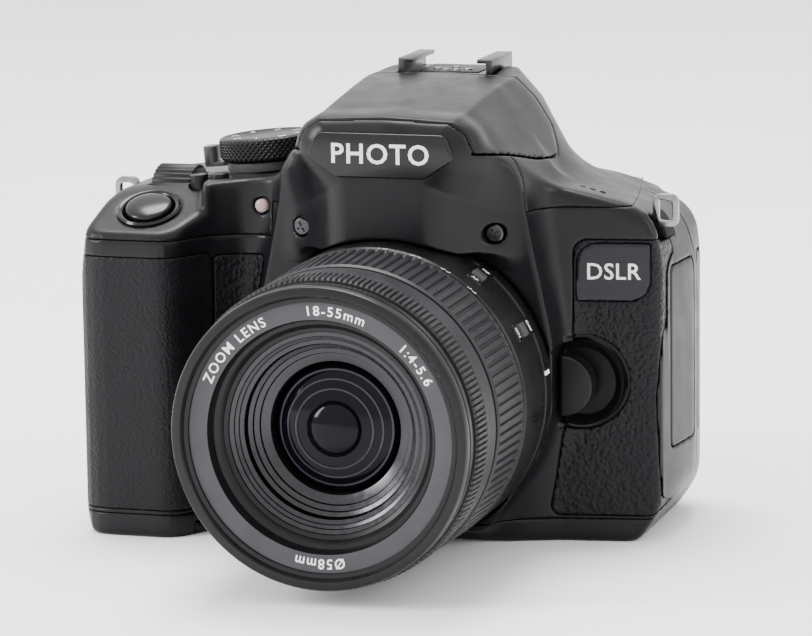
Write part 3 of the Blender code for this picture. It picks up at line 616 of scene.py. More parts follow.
def extruded(name, outline, low, high, place, soft=0.0):
    """An outline (u, v) in a place's X and Y, made solid between two heights along its Z."""
    count = len(outline)
    work = bmesh.new()
    rings = []
    for height in (low, high):
        rings.append([work.verts.new(world_point(*(place @ Vector((u, v, height))))) for u, v in outline])
    work.faces.new(rings[0])
    work.faces.new(rings[1])
    for i in range(count):
        j = (i + 1) % count
        work.faces.new((rings[0][i], rings[0][j], rings[1][j], rings[1][i]))
    bmesh.ops.recalc_face_normals(work, faces=work.faces)
    mesh = bpy.data.meshes.new(name)
    work.to_mesh(mesh)
    work.free()
    made = link(name, mesh)
    if soft:
        bevelled(made, soft, 3, 40)
    return made


def cut_away(made, cutter):
    made = modified(made, "BOOLEAN", operation="DIFFERENCE", solver="EXACT", object=cutter)
    bpy.data.objects.remove(cutter)
    return made


def front_place(x, y, z):
    """A place on a front face: its X runs along X, its Y up, and its Z out of the face."""
    return Matrix.Translation((x, y, z)) @ Matrix.Rotation(math.radians(90), 4, "X")


def rear_place(x, y, z):
    return Matrix.Translation((x, y, z)) @ Matrix.Rotation(math.radians(180), 4, "Z") @ front_place(0, 0, 0)


def flat_place(place):
    """Letters laid on a place's X and Y, raised along its Z."""
    return lambda u, v, out: place @ Vector((u, v, out))


def rectangle(half_width, half_height, radius):
    return panel((-half_width, -half_height), (half_width, half_height), radius)


def lettering(name, text, size, place, depth=0.05, weight=0.0, spacing=1.0):
    """Raised letters as mesh. place maps a letter's point (x, y, out) to the lens frame."""
    curve = bpy.data.curves.new(name, "FONT")
    curve.body = text
    curve.align_x = "CENTER"
    curve.align_y = "CENTER"
    curve.size = size
    curve.extrude = depth
    curve.offset = weight
    curve.space_character = spacing
    curve.resolution_u = 3
    holder = link(name, curve)
    mesh = evaluated(holder)
    bpy.data.objects.remove(holder)
    for vertex in mesh.vertices:
        vertex.co = world_point(*place(*vertex.co))
    return link(name, mesh)


BAND_INNER, BAND_OUTER = (24.6, -59.5), (28.3, -60.0)


def ring_place(radius, middle):
    """Letters on the sloping band, tops outwards, round a middle in degrees clockwise from the top."""
    slope = (BAND_OUTER[1] - BAND_INNER[1]) / (BAND_OUTER[0] - BAND_INNER[0])

    def place(u, v, out):
        angle = math.radians(middle) + u / radius
        reach = radius + v
        y = BAND_INNER[1] + slope * (reach - BAND_INNER[0]) - out
        return reach * math.sin(angle), y, LENS_Z + reach * math.cos(angle)
    return place


def barrel_place(radius, y, middle):
    """Letters on the barrel's side, read from in front and above with their feet towards the lens front."""
    def place(u, v, out):
        angle = math.radians(middle) + u / radius
        return (radius + out) * math.sin(angle), y + v, LENS_Z + (radius + out) * math.cos(angle)
    return place


# ---- lens ----


def ribs(count, depth, places, duty=0.5):
    """A wave of flat-topped ribs on the profile points in places, cut down into the radius."""
    def wave(angles, i):
        if i not in places:
            return 0.0
        phase = (angles * count / (2 * math.pi)) % 1.0
        return np.where(phase < duty, 0.0, -depth)
    return wave


def make_barrel():
    profile = [
        (25.6, 4.6), (25.6, -0.4), (33.0, -0.4), (33.5, -1.0), (33.6, -1.6), (33.6, -5.4), (33.2, -5.8),
        (33.2, -6.4), (33.6, -6.8), (33.6, -21.9), (33.2, -22.5), (29.2, -22.5), (29.2, -40.0),
        (27.7, -40.0), (27.7, -4.0), (22.0, -4.0), (22.0, 4.6),
    ]
    fit(turned("barrel_shell", profile), BARREL_BLACK, "lens", "lens_barrel")
    zoom_profile = [(29.5, -23.2), (33.2, -23.2), (33.5, -23.9), (33.5, -24.6), (33.0, -39.8), (33.0, -40.5),
                    (32.6, -41.2), (29.5, -41.2)]
    zoom = turned("zoom_grip", zoom_profile, 800, 20, wave=ribs(100, 0.55, (3, 4), 0.62))
    fit(zoom, RIB_RUBBER, "zoom_ring", "zoom_ring", slot="grip_rubber")
    focus_profile = [(29.3, -41.6), (32.2, -41.6), (32.5, -42.2), (32.5, -48.4), (32.0, -48.8),
                     (32.0, -49.4), (32.9, -49.8), (32.7, -55.3), (32.2, -55.9), (29.3, -55.9)]
    focus = turned("focus_grip", focus_profile, 1020, 20, wave=ribs(170, 0.6, (6, 7), 0.55))
    fit(focus, RIB_RUBBER, "focus_ring", "focus_ring", slot="grip_rubber")


def make_front_barrel():
    """The bezel, the inscription band and the stepped baffle down to the glass, with shallow rings."""
    steps = [(28.4, -60.6), BAND_OUTER, BAND_INNER, (24.2, -58.6), (24.0, -57.0), (23.2, -56.8)]
    for radius, y in ((22.4, -56.0), (21.4, -55.3), (20.4, -54.7), (19.6, -54.0), (18.6, -53.4)):
        steps += [(radius, y), (radius - 0.15, y + 0.3)]
    steps += [(18.2, -52.0), (17.4, -51.5), (17.2, -51.0), (16.2, -50.6), (16.0, -50.1), (15.0, -49.7),
              (14.2, -49.3), (14.0, -45.6)]
    rim = [(25.0, -40.0), (25.0, -18.0), (27.3, -18.0), (27.3, -42.0), (29.0, -42.0), (29.0, -56.3),
           (31.4, -56.3), (31.9, -57.0), (31.9, -58.6), (31.5, -58.9), (31.5, -59.2), (31.9, -59.5),
           (31.9, -61.0), (31.6, -61.6), (31.0, -61.8), (29.9, -61.8), (29.5, -61.3), (29.3, -60.7),
           (28.9, -60.7)]
    made = turned("bezel_and_baffle", rim + steps)
    paint(made.data, BARREL_BLACK, BAND, BAFFLE)
    for face in made.data.polygons:
        middle = face.center / MM - ORIGIN / MM
        radius = math.hypot(middle.x, middle.z - LENS_Z)
        on_band = BAND_INNER[0] < radius < BAND_OUTER[0] and middle.y < -59
        inner = middle.y < -49.0 and radius < 21.6
        face.material_index = 1 if on_band else (2 if inner else 0)
    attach(made, "lens_front")
    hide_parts("front_barrel")


def dome(radius, rise, y, back):
    """The profile of a glass that rises forward from y and is closed behind on the axis."""
    angles = [i * math.pi / 2 / 24 for i in range(1, 25)]
    arc = [(radius * math.sin(a), y - rise * math.cos(a)) for a in angles]
    return [(0.0, y - rise)] + arc + [(0.0, back)]


def make_glass():
    front = turned("front_element", dome(13.7, 4.2, -46.4, -46.0))
    fit(front, COATED, "lens_front", "front_lens", slot="coated_glass")
    for i, (radius, y) in enumerate(((12.3, -48.3), (10.4, -49.15), (8.4, -49.8))):
        hoop = [(radius + 0.28 * math.cos(a), y + 0.22 * math.sin(a)) for a in np.arange(8) * math.pi / 4]
        fit(turned("inner_ring_%d" % i, hoop), INNER_GLASS, "lens_front", slot="coated_glass")
    bead = turned("inner_element", dome(6.0, 2.5, -49.9, -49.9))
    fit(bead, COATED, "lens_front", slot="coated_glass")


def make_lens_print():
    words = (("print_zoom", "ZOOM LENS", -46), ("print_range", "18-55mm", 8), ("print_speed", "1:4-5.6", 52),
             ("print_thread", "\u00d858mm", 181))
    for name, text, degrees in words:
        fit(lettering(name, text, 2.9, ring_place(26.4, degrees), 0.05, 0.04, 1.22), WHITE, "lens_front")
    for text, degrees in (("18", 4), ("24", 17), ("35", 29), ("55", 41)):
        place = barrel_place(33.5, -22.0, degrees)
        made = lettering("print_focal_" + text, text, 2.6, place, 0.05, 0.03)
        fit(made, GREY_PRINT, "lens")
    mark = extruded("print_index", rectangle(0.45, 1.6, 0.1), -0.1, 0.08, barrel_spot(82, -4.0))
    fit(mark, WHITE, "lens")


def barrel_spot(degrees, y, radius=33.6):
    """A place on the barrel: its Z out of it, its Y along the lens axis to the body."""
    turn = Matrix.Rotation(math.radians(degrees), 4, "Y")
    return Matrix.Translation((0, y, LENS_Z)) @ turn @ Matrix.Translation((0, 0, radius))


SWITCH_Y, SWITCH_RISE = -12.0, 0.35


def make_switches():
    for name, degrees, texts in (("af_switch", 38, ("AF", "MF")), ("stabiliser_switch", 63, ("ON", "OFF"))):
        spot = barrel_spot(degrees, SWITCH_Y)
        plate = extruded(name + "_plate", rectangle(2.1, 5.6, 1.0), -0.9, SWITCH_RISE, spot, 0.25)
        well = extruded("well", rectangle(1.35, 3.1, 0.8), -0.25, 2.0, spot)
        fit(cut_away(plate, well), BARREL_BLACK, "lens")
        for text, shift in zip(texts, (-4.3, 4.3)):
            place = barrel_spot(degrees, SWITCH_Y + shift) @ Matrix.Translation((0, 0, SWITCH_RISE))
            fit(lettering(name + "_" + text, text, 1.5, flat_place(place), 0.03, 0.02), WHITE, "lens")
        softened(name, 0.25, SWITCH_GREY, name, slot="bright_metal")


# ---- deck, nose and rear controls ----


def dial_place(height=0.0):
    tilt = Matrix.Rotation(DECK_TILT, 4, "Y")
    return Matrix.Translation(DIAL_AT) @ tilt @ Matrix.Translation((0, 0, height))


def make_mode_dial():
    rows = [1.0 + 0.16 * i for i in range(25)]
    profile = [(3.2, -6.0), (3.2, 0.3), (10.2, 0.3), (10.6, 0.7)] + [(DIAL_RADIUS, h) for h in rows]
    profile += [(10.7, 5.15), (10.2, 5.5), (9.6, 5.6), (9.3, 5.4), (0.0, 5.4), (0.0, -6.0)]
    teeth, pitch, depth = 54, 1.3, 0.42

    def diamonds(angles, i):
        row = i - 4
        if not 0 <= row < len(rows):
            return 0.0
        around, along = angles * teeth / (2 * math.pi), rows[row] / pitch
        first = np.abs(((around + along) % 1.0) * 2 - 1)
        second = np.abs(((around - along) % 1.0) * 2 - 1)
        return -depth * (1 - np.minimum(first, second))

    dial = turned("mode_dial_knurled", profile, 432, 50, dial_place(), diamonds)
    fit(dial, DARK_PLASTIC, "mode_dial", "mode_dial")
    for i, text in enumerate(("P", "S", "A", "M", "1", "2", "3", "4")):
        turn = dial_place(5.42) @ Matrix.Rotation(-i * math.pi / 4, 4, "Z") @ Matrix.Translation((0, 7.4, 0))
        made = lettering("dial_sign_" + text, text, 2.4, flat_place(turn), 0.02, 0.02)
        fit(made, WHITE, "mode_dial")
    softened("power_lever", 0.35, SWITCH_GREY, "power_lever")
    softened("main_dial", 0.12, DARK_PLASTIC, "main_dial", 2)


def make_shutter_button():
    place = Matrix.Translation(RELEASE_AT) @ Matrix.Rotation(PLATEAU_TILT, 4, "X")
    top = [(5.1 * math.sin(a), 0.15 + 0.95 * math.cos(a)) for a in (1.5, 1.3, 1.1, 0.9, 0.7, 0.5, 0.3, 0.15)]
    profile = [(0.0, -6.0), (5.0, -6.0), (5.15, -0.2)] + top + [(0.0, 1.1)]
    made = turned("shutter_button_dome", profile, 96, 60, place)
    fit(made, GLOSS, "shutter_button", "shutter_button", slot="gloss_plastic")
    collar = [(5.75, -1.2), (7.0, -1.2), (7.1, -0.35), (6.7, 0.02), (6.2, -0.08), (5.75, -0.5)]
    fit(turned("release_collar", collar, 96, 50, place), GLOSS, "body", slot="gloss_plastic")
    for node in ("iso_button", "display_button"):
        softened(node, 0.3, PLASTIC, node)


SCREW_DEPTH = 1.0


def make_screws():
    for side, x in (("left", -SCREW_X), ("right", SCREW_X)):
        place = front_place(x, front_depth(x, SCREW_Z) + SCREW_DEPTH, SCREW_Z)
        head = turned("screw_head_" + side, [(0, -0.6), (1.95, -0.6), (1.95, 0.35), (1.6, 0.62), (0, 0.72)],
                      48, 40, place)
        for turn in (0.5, 0.5 + math.pi / 2):
            bar = place @ Matrix.Rotation(turn, 4, "Z")
            head = cut_away(head, extruded("bar", rectangle(1.2, 0.24, 0.05), 0.1, 2.0, bar))
        fit(head, DARK_METAL, "body", slot="bright_metal")
    lamp = [(0, 3.0), (1.5, 3.0), (1.5, -0.1), (1.15, -0.4), (0.6, -0.55), (0, -0.6)]
    place = Matrix.Translation(LAMP_AT) @ Matrix.Rotation(math.radians(-90), 4, "X")
    fit(turned("lamp_dome", lamp, 48, 50, place), LAMP, "body", "self_timer_lamp", slot="lamp_lens")


BADGE_LOW, BADGE_HIGH = (36.4, 53.6), (52.2, 66.2)
BADGE_LEAN = math.atan2(CORE_PLAN[3][1] - CORE_PLAN[2][1], CORE_PLAN[3][0] - CORE_PLAN[2][0])


def grid_index(value, values):
    return int(round((value - values.ravel()[0]) / CELL))


def crossing(column, i, values):
    """Where a column of the body's field passes through zero between steps i and i + 1."""
    share = column[i] / (column[i] - column[i + 1])
    return float(values.ravel()[i] + share * CELL)


def front_depth(x, z):
    """Where the body's front face lies behind a point (x, z)."""
    column = BODY[grid_index(x, SPACE.x), :, grid_index(z, SPACE.z)]
    return crossing(column, int(np.argmax(column < 0)) - 1, SPACE.y)


def top_height(x, y):
    """Where the body's top face lies under a point (x, y)."""
    column = BODY[grid_index(x, SPACE.x), grid_index(y, SPACE.y)]
    return crossing(column, int(np.nonzero(column < 0)[0][-1]), SPACE.z)


NAME_OUTLINE = [(9.8, 82.9, 3), (16.4, 87.3, 1.6), (14.4, 92.5, 2)]


def make_nose_plate():
    outline = rounded(mirrored(NAME_OUTLINE))
    plate = extruded("name_plate_gloss", outline, 15.1, 15.95, front_place(0, 0, 0), 0.35)
    fit(plate, GLOSS, "flash", "name_plate", slot="gloss_plastic")
    word = lettering("print_word", "PHOTO", 6.0, flat_place(front_place(0.0, -15.96, 87.9)), 0.12, 0.09, 1.1)
    fit(word, WHITE, "flash", slot="gloss_plastic")
    x, z = ((low + high) / 2 for low, high in zip(BADGE_LOW, BADGE_HIGH))
    face = Matrix.Translation((x, front_depth(x, z), 0)) @ Matrix.Rotation(BADGE_LEAN, 4, "Z")
    place = flat_place(face @ front_place(0, -0.06, z))
    badge = lettering("print_badge", "DSLR", 5.0, place, 0.10, 0.05, 1.05)
    fit(badge, WHITE, "body", slot="gloss_plastic")


def make_shoe():
    softened("hot_shoe", 0.18, DARK_METAL, "body", slot="bright_metal")
    place = Matrix.Translation((0, SHOE_Y, SHOE_FLOOR))
    floor = extruded("shoe_floor", rectangle(7.0, 6.6, 0.6), 0, 0.35, place, 0.12)
    fit(floor, DARK_PLASTIC, "body")
    for i, (x, y) in enumerate(((0, SHOE_Y), (-3.6, 40.5), (-1.2, 39.4), (1.2, 39.4), (3.6, 40.5))):
        profile = [(0, 0.0), (0.95, 0.0), (0.9, 0.3), (0.5, 0.42), (0, 0.44)]
        place = Matrix.Translation((x, y, 99.5))
        fit(turned("shoe_contact_%d" % i, profile, 24, 40, place), STEEL, "body", slot="bright_metal")
    for side, sign in (("left", -1), ("right", 1)):
        softened("strap_lug_" + side, 0.45, STEEL, "body", slot="bright_metal")
        edge = RIGHT if sign > 0 else LEFT
        low, high = sorted((edge - sign * 13, edge + sign * 2))
        # Painted shade: a matt black sheet in the rear of each lug recess darkens the notch, which the
        # lights leave too bright.
        shade_sheet = carve("lug_shade_sheet_" + side, (low, 12, 62), (high, 30, 84), lug_shade_sheet_region(sign), share=0.7)
        fit(shade_sheet, MATT, "body", slot="matt_black")


def make_speaker_holes():
    """Three small dark wells on the right of the deck, set on the sloping surface."""
    for i, x in enumerate((36.0, 38.2, 40.4)):
        y = 17.0
        z = top_height(x, y)
        place = Matrix.Translation((x, y, z - 0.25)) @ Matrix.Rotation(math.radians(14), 4, "Y")
        ring = [(0.0, 0.0), (0.75, 0.0), (0.75, 0.26), (0.55, 0.32), (0.5, 0.12), (0.0, 0.1)]
        made = turned("speaker_hole_%d" % i, ring, 24, 40, place)
        fit(made, MATT, "body", slot="matt_black")


DISH_WIDTH = 1.8


def make_release_button():
    outline = [(x, z) for x, z in circle_points(RELEASE_BUTTON, 6.6, 96) if x > RELEASE_FLAT]
    place = Matrix.Rotation(math.radians(90), 4, "X")
    made = extruded("release_d", outline, -8.7, -3.4, place, 0.55)
    fit(made, PLASTIC, "lens_release_button", "lens_release_button")
    x, z = LENS_RELEASE
    place = Matrix.Translation((x, 0, z)) @ Matrix.Rotation(math.radians(-90), 4, "X")
    outer, inner = POCKET_RADIUS - 0.1, POCKET_RADIUS - DISH_WIDTH
    ring = [(outer, 10.6), (outer, 8.0), (inner, 10.0), (inner, 10.6)]
    dish = turned("release_dish", ring, 128, 40, place)
    keep_out = extruded("lens_side", [(20, 20), (34.0, 20), (34.0, 50), (20, 50)], -20, 5,
                        Matrix.Rotation(math.radians(90), 4, "X"))
    fit(cut_away(dish, keep_out), DARK_PLASTIC, "body")


def circle_points(middle, radius, steps):
    turns = [2 * math.pi * i / steps for i in range(steps)]
    return [(middle[0] + radius * math.cos(a), middle[1] + radius * math.sin(a)) for a in turns]


def make_rear():
    softened("screen_frame", 0.7, PLASTIC, "screen")
    softened("screen_hinge", 0.4, PLASTIC, "screen")
    softened("lcd_panel", 0.12, SCREEN, "screen", slot="gloss_plastic")
    softened("eyecup", 1.0, RUBBER, "body", 4, slot="grip_rubber")
    softened("eyepiece_lens", 0.2, COATED, "body", slot="coated_glass")
    softened("control_wheel", 0.3, DARK_PLASTIC, "control_wheel")
    softened("diopter_knob", 0.2, DARK_PLASTIC, "diopter_knob")
    for node in list(REAR_BUTTONS) + ["set_button"]:
        softened(node, 0.35, PLASTIC, node)
    signs = (("MENU", "menu_button", 3.4), ("INFO", "info_button", 3.4), ("Q", "quick_button", 3.6),
             ("AF", "af_on_button", 3.4))
    for text, node, rise in signs:
        x, z, _ = REAR_BUTTONS[node]
        place = flat_place(rear_place(x, REAR + 0.02, z + rise))
        fit(lettering("print_" + text, text, 1.7, place, 0.04, 0.02), WHITE, "body")


def finish_frame_nodes():
    """Materials for the CAD nodes that stay as they are, mostly the mechanism inside."""
    looks = {
        "lens_mount_ring": STEEL, "mirror_box": MATT, "mirror": MIRROR, "focusing_screen": WINDOW,
        "pentamirror": INNER_GLASS, "shutter_unit": DARK_METAL, "image_sensor": SCREEN, "main_board": BOARD,
        "battery_pack": DARK_PLASTIC, "tripod_socket": STEEL, "flash_window": WINDOW,
        "rear_lens_group": COATED, "aperture_unit": MATT,
    }
    for node, material in looks.items():
        paint(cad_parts[node].data, material)


# ---- regions ----


def cavity(s):
    """The rooms inside the body, as one field."""
    rooms = [
        ((-69.5, 15, 3), (48.2, 48.6, 68.5)), ((-68, -3.6, 3.1), (-49.8, 16, 63.5)),
        ((-23, 2.6, 12), (23, 16, 71)), ((-63.5, 6.5, 60), (-28.5, 40, 73.8)),
        ((-17, 8.8, 70), (17, 48.4, 82)), ((-13.5, 35, 80), (13.5, 47.6, 91.0)),
    ]
    return any_of(*(box(s, *room) for room in rooms))


def flash_region(grow=0.0):
    """The flash head's space, bounded in front and behind by arcs about the axis of its arms."""
    y, z = FLASH_AXIS
    reach, heel = 43.0 + grow, 2.4 + grow
    front = [(y - math.sqrt(reach**2 - (z - h) ** 2), h) for h in (88.2 - grow, 90.7, 93.9, z)]
    behind = [(y + heel * math.cos(a), z + heel * math.sin(a)) for a in (0.0, 0.5, 1.0, 1.5)]
    low = [(y + heel, 89.0 - grow, 0), (24.5 + grow, 82.9 - grow, 6), (12.0, 84.2 - grow, 8),
           (0, 86.6 - grow, 4)]
    side = front + [(front[-1][0], 120), (y, 120)] + behind[::-1]
    outline = rounded([(a, b, 0) for a, b in side] + low)
    return lambda s: polygon(outline, s.y, s.z)


def body_near(s):
    """The body's field on the points of a crop of the grid."""
    i, j, k = (grid_index(v.ravel()[0], w) for v, w in zip((s.x, s.y, s.z), (SPACE.x, SPACE.y, SPACE.z)))
    return BODY[i:i + s.x.size, j:j + s.y.size, k:k + s.z.size]


def grip_strip(grow=0.0):
    """The rubber's place round the grip: to a depth of the surface, on its left, front and inner flank."""
    left, flank, rear = LEFT - 4, -44.2 + grow, 30 + grow
    outline = [(left, rear), (left, -14), (flank, -14), (flank, 4), (-64, 4), (-64, rear)]
    depth = RUBBER_DEPTH + grow

    def field(s):
        side = both(polygon(outline, s.x, s.y), slab(s.z, 6.2 - grow, 62.6 + grow), 1.5)
        return both(side, -(body_near(s) + depth), 0.3)

    return field


def skin(outline, depth, grow=0.0, front=True):
    """A panel let into the front or rear face, under an outline in X and Z."""
    def field(s):
        side = polygon(outline, s.x, s.z) - grow
        half = s.y - 22 if front else 40 - s.y
        return np.maximum(both(side, -(body_near(s) + depth + grow), 0.3), half)

    return field


LEATHER_OUTLINE = rounded([
    (30.4, 5.9, 2), (54.4, 5.9, 3), (53.4, 32, 8), (54.7, 50, 8), (54.7, 67.0, 1), (35.6, 67.0, 3),
    (35.9, 47.0, 4), (37.6, 36.0, 3), (33.6, 24.0, 6),
])
FLANK_OUTLINE = rounded([
    (-44.0, 6.4, 1), (-33.0, 6.4, 1), (-37.6, 36, 6), (-33.0, 62.0, 1), (-44.0, 62.0, 1),
])
BADGE_OUTLINE = rounded([
    (*BADGE_LOW, 0.6), (BADGE_HIGH[0], BADGE_LOW[1], 4.5),
    (*BADGE_HIGH, 0.6), (BADGE_LOW[0], BADGE_HIGH[1], 4.5),
])
THUMB_OUTLINE = panel((-69, 36), (-53.6, 62), 3)


def mount_seat(s):
    foot = y_disc(s, (0, LENS_Z), 34.0, -20, -0.1)
    ring = y_disc(s, (0, LENS_Z), 32.8, -20, 2.6)
    throat = y_disc(s, (0, LENS_Z), 26.5, -20, 20)
    return any_of(foot, ring, throat)


def lug_room(sign):
    side = RIGHT if sign > 0 else LEFT
    depths = ((10.5, 81.0), (6.4, 75.8), (6.4, 66.5), (-4.0, 64.5), (-4.0, 83.0))
    outline = [(side - sign * depth, z) for depth, z in depths]
    return lambda s: both(polygon(outline, s.x, s.z), slab(s.y, 14.5, 27.0), 1.0)


def lug_shade_sheet_region(sign):
    """The rear half of a lug's recess, a little under the body's surface, for the matt black sheet that
    paints shade into the notch.
    """
    room = lug_room(sign)
    return lambda s: np.maximum(room(s) + 0.1, slab(s.y, 20.3, 26.6))


def door_region(front, rear, grow=0.0):
    outline = panel((front - grow, DOOR_BOTTOM - grow), (rear + grow, DOOR_TOP + grow), 2)
    return lambda s: np.maximum(polygon(outline, s.y, s.z), slab(s.x, 54.0 - grow, 80))


def release_hole(s):
    hole = disc(s, RELEASE_AT, PLATEAU_UP, RELEASE_RADIUS + GAP, -12, 9)
    dish = disc(s, RELEASE_AT, PLATEAU_UP, RELEASE_RADIUS + 2.1, -0.9, 9)
    return either(hole, dish, 1.0)


def y_holes(*holes):
    """Round holes along Y, each (x, z, radius, low, high)."""
    def field(s):
        return any_of(*(y_disc(s, (x, z), radius, low, high) for x, z, radius, low, high in holes))
    return field


def hatch(grow, bottom, top):
    """The battery door's space in the base."""
    low, high = [a - grow for a in HATCH_LOW], [b + grow for b in HATCH_HIGH]
    outline = panel(low, high, 3)
    return lambda s: np.maximum(polygon(outline, s.x, s.y), slab(s.z, bottom, top))


# ---- shells ----


def front_region(s):
    low = box(s, (-90, -30, BASE_TOP), (90, SIDE_SPLIT_Y, GRIP_SPLIT_Z - SEAM))
    high = box(s, (-31, -30, 50), (90, SIDE_SPLIT_Y, DECK_SPLIT_Z - SEAM))
    nose = box(s, (-30, -30, 60), (30, 0, 120))
    return any_of(low, high, nose)


def top_region(s):
    deck = box(s, (-31, 0.06, DECK_SPLIT_Z), (90, 90, 120))
    grip = box(s, (-90, -30, GRIP_SPLIT_Z), (-31 - SEAM, SIDE_SPLIT_Y, 120))
    rear = box(s, (-90, 20, DECK_SPLIT_Z), (-30, 90, 120))
    return any_of(deck, grip, rear)


def make_front_shell():
    screws = y_holes(*[(x, SCREW_Z, 2.25, -6, 0.2) for x in (-SCREW_X, SCREW_X)])

    def well(s):
        return np.maximum(y_disc(s, LENS_RELEASE, POCKET_RADIUS, -10, 10.9), 33.3 - s.x)

    made = carve(
        "front_shell", (-77, -17, 3), (60, 40, 97), front_region, cavity, flash_region(GAP), mount_seat,
        grip_strip(SEAM), skin(LEATHER_OUTLINE, LEATHER_DEPTH, SEAM),
        skin(FLANK_OUTLINE, FLANK_DEPTH, SEAM), screws, well,
        door_region(FRONT_DOOR_Y, 35.2, GAP), lug_room(1), lug_room(-1), release_hole,
    )
    fit(made, PLASTIC, "body", "front_cover")


def make_top_shell():
    def controls(s):
        cuts = [
            disc(s, DIAL_AT, DECK_UP, DIAL_RADIUS + 0.6, 0.2, 14), disc(s, DIAL_AT, DECK_UP, 9.9, -2.2, 6),
            disc(s, DIAL_AT, DECK_UP, 3.8, -20, 3), box(s, (-11.2, 33.6, 98.2), (11.2, 51.4, 110)),
            y_disc(s, (LAMP_AT[0], LAMP_AT[2]), 1.9, -10, 9),
        ]
        for x, y in TOP_BUTTONS:
            height = 77.9 + (x + 50.0) * (80.1 - 77.9) / 23.0
            cuts.append(disc(s, (x, y, height), DECK_UP, 2.4, -12, 6))
        x, y, z = WHEEL_AT
        wheel = np.sqrt((s.y - y) ** 2 + (s.z - z) ** 2) - WHEEL_RADIUS - GAP
        cuts.append(np.maximum(wheel, slab(s.x, x - WHEEL_WIDTH / 2 - GAP, x + WHEEL_WIDTH / 2 + GAP)))
        return any_of(*cuts)

    holes = y_holes((0, EYE_Z, 6.0, 48, 60), (*DIOPTER_AT, 2.9, 50.5, 62))
    made = carve("top_shell", (-77, -13, 64), (60, 60, 103), top_region, cavity, flash_region(GAP),
                 controls, holes, release_hole, lug_room(1), lug_room(-1))
    fit(made, PLASTIC, "body", "top_cover")


def make_rear_shell():
    def region(s):
        return box(s, (-90, SIDE_SPLIT_Y + SEAM, BASE_TOP), (90, 90, DECK_SPLIT_Z - SEAM))

    def bed(s):
        return box(s, (-27.3, SCREEN_BED, 11.7), (90, 90, 66.3))

    buttons = [(x, z, radius + GAP, REAR - 3.4, REAR + 5) for x, z, radius in REAR_BUTTONS.values()]
    holes = y_holes(*buttons, (*PAD_AT, 8.9, REAR - 3.6, REAR + 5))
    made = carve("rear_shell", (-77, 36, 3), (60, 60, 76), region, cavity, bed, holes,
                 skin(THUMB_OUTLINE, RUBBER_DEPTH, SEAM, False), door_region(REAR_DOOR_Y, 47.2, GAP))
    fit(made, PLASTIC, "body", "rear_cover")


def make_base_shell():
    def region(s):
        return slab(s.z, -5, BASE_TOP - SEAM)

    def holes(s):
        well = box(s, (-65.5, -3.6, 1), (-49.5, 30.4, 4.2))
        socket = disc(s, (0, 30, 0), (0, 0, 1), 5.3, -1, 8)
        return np.minimum(well, socket)

    made = carve("base_shell", (-77, -13, -3), (60, 60, 7), region, cavity, hatch(GAP, -1, 2.9), holes,
                 mount_seat)
    fit(made, PLASTIC, "body", "bottom_cover")


def make_flash_shell():
    def room(s):
        return box(s, (-15, -8.4, 70), (15, 24, 92.2))

    made = carve("flash_shell", (-32, -17, 80), (32, 36, 103), flash_region(), room, share=0.9)
    fit(made, PLASTIC, "flash", "flash_head")


def make_skins():
    grip = carve("grip_skin", (-77, -13, 4), (-40, 33, 65), grip_strip(), share=0.5)
    fit(grip, RUBBER, "body", "grip_rubber", slot="grip_rubber")
    well = y_holes((*LENS_RELEASE, POCKET_RADIUS + 1.0, -10, 30))
    badge_gap = skin(BADGE_OUTLINE, 2.0, 0.1)
    leather = carve("side_leather", (27, 3, 3), (60, 24, 70), skin(LEATHER_OUTLINE, LEATHER_DEPTH),
                    badge_gap, well, door_region(FRONT_DOOR_Y, 35.2, GAP), lug_room(1), share=0.6)
    fit(leather, LEATHER, "body", "panel_leather", slot="panel_leather")
    flank = carve("flank_leather", (-48, -3, 4), (-30, 12, 65), skin(FLANK_OUTLINE, FLANK_DEPTH),
                  mount_seat, share=0.6)
    fit(flank, LEATHER, "body", slot="panel_leather")
    badge = carve("badge", (33, 5, 51), (56, 16, 69), skin(BADGE_OUTLINE, 0.9), share=0.7)
    fit(badge, PLATE, "body", "badge_plate", slot="gloss_plastic")
    thumb = carve("thumb_skin", (-77, 50, 33), (-50, 60, 65),
                  skin(THUMB_OUTLINE, RUBBER_DEPTH, 0, False), share=0.6)
    fit(thumb, RUBBER, "body", "thumb_rubber", slot="grip_rubber")
    base = carve("battery_hatch", (-72, -8, -2), (-38, 35, 5), hatch(0.0, 0.3, 2.5), share=0.4)
    fit(base, PLASTIC, "battery_door", "battery_door")
    doors = (("terminal_cover_front", FRONT_DOOR_Y, 35.0), ("terminal_cover_rear", REAR_DOOR_Y, 46.6))
    for body, front, rear in doors:
        door = carve(body + "_skin", (52, 16, 17), (60, 50, 63), door_region(front, rear), share=0.6)
        fit(door, RIB_RUBBER, body, body, slot="grip_rubber")


# ---- stage ----

VIEW_AZIMUTH, VIEW_ELEVATION, VIEW_ROLL = math.radians(16.927), math.radians(10.291), math.radians(-0.718)
VIEW_DISTANCE, VIEW_TARGET = 925.37, (0.564, 0.0, 49.98)
VIEW_LENS = 188.65


def world_point(x, y, z):
    return ORIGIN + Vector((x, y, z)) * MM


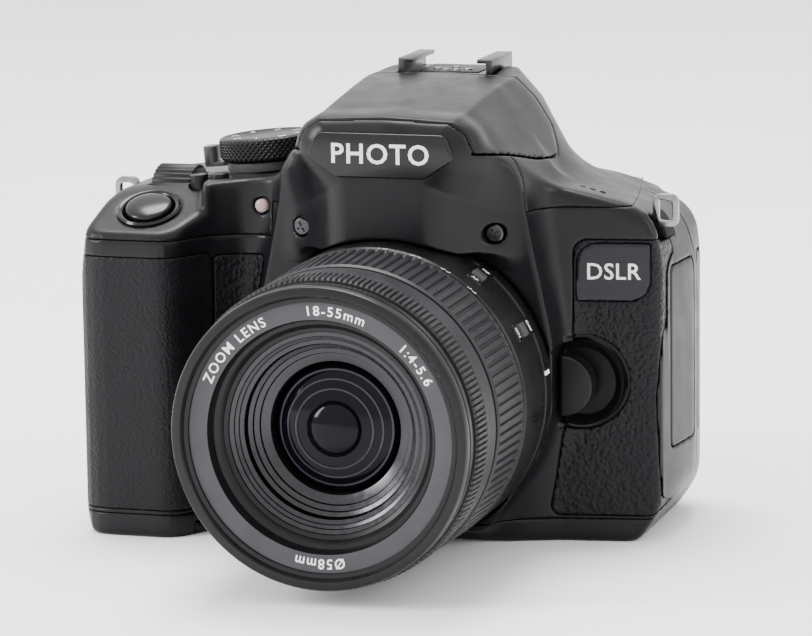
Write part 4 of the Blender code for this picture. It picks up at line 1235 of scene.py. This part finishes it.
def make_camera():
    back = Vector((math.sin(VIEW_AZIMUTH) * math.cos(VIEW_ELEVATION),
                   -math.cos(VIEW_AZIMUTH) * math.cos(VIEW_ELEVATION), math.sin(VIEW_ELEVATION)))
    right = Vector((math.cos(VIEW_AZIMUTH), math.sin(VIEW_AZIMUTH), 0))
    up = back.cross(right)
    turn = Matrix((right, up, back)).transposed() @ Matrix.Rotation(VIEW_ROLL, 3, "Z")
    data = bpy.data.cameras.new("view")
    data.lens = VIEW_LENS
    data.sensor_width = 36
    data.sensor_fit = "HORIZONTAL"
    data.clip_end = 20
    camera = link("view", data)
    at = world_point(*VIEW_TARGET) + back * VIEW_DISTANCE * MM
    camera.matrix_world = Matrix.Translation(at) @ turn.to_4x4()
    bpy.context.scene.camera = camera


def area_light(name, at, size, power):
    data = bpy.data.lights.new(name, "AREA")
    data.shape = "RECTANGLE"
    data.size, data.size_y = size
    data.energy = power
    lamp = link(name, data)
    lamp.location = at
    lamp.rotation_euler = (Vector((0, 0, 0.05)) - Vector(at)).to_track_quat("-Z", "Y").to_euler()


def make_stage():
    floor_look = Look("pale_floor", (0.93, 0.93, 0.93), 0.75)
    floor_look.vary(floor_look.noise(60.0, 2), 0.01)
    bpy.ops.mesh.primitive_plane_add(size=8)
    floor = bpy.context.object
    floor.name = "floor"
    floor.data.materials.append(floor_look.material)
    world = bpy.data.worlds.new("studio")
    bpy.context.scene.world = world
    world.use_nodes = True
    background = world.node_tree.nodes["Background"]
    background.inputs["Color"].default_value = (1, 1, 1, 1)
    background.inputs["Strength"].default_value = 1.9
    area_light("top", (-0.10, 0.25, 1.1), (0.6, 0.5), 20)
    area_light("left", (-0.9, -0.6, 0.55), (0.3, 0.6), 16)
    area_light("right", (1.0, -0.1, 0.45), (0.2, 0.6), 3)


for make in (
    make_stage, make_camera, make_front_shell, make_top_shell, make_rear_shell, make_base_shell,
    make_flash_shell, make_skins, make_barrel, make_front_barrel, make_glass, make_lens_print,
    make_switches, make_mode_dial, make_shutter_button, make_screws, make_nose_plate, make_shoe,
    make_speaker_holes, make_release_button, make_rear, finish_frame_nodes,
):
    make()
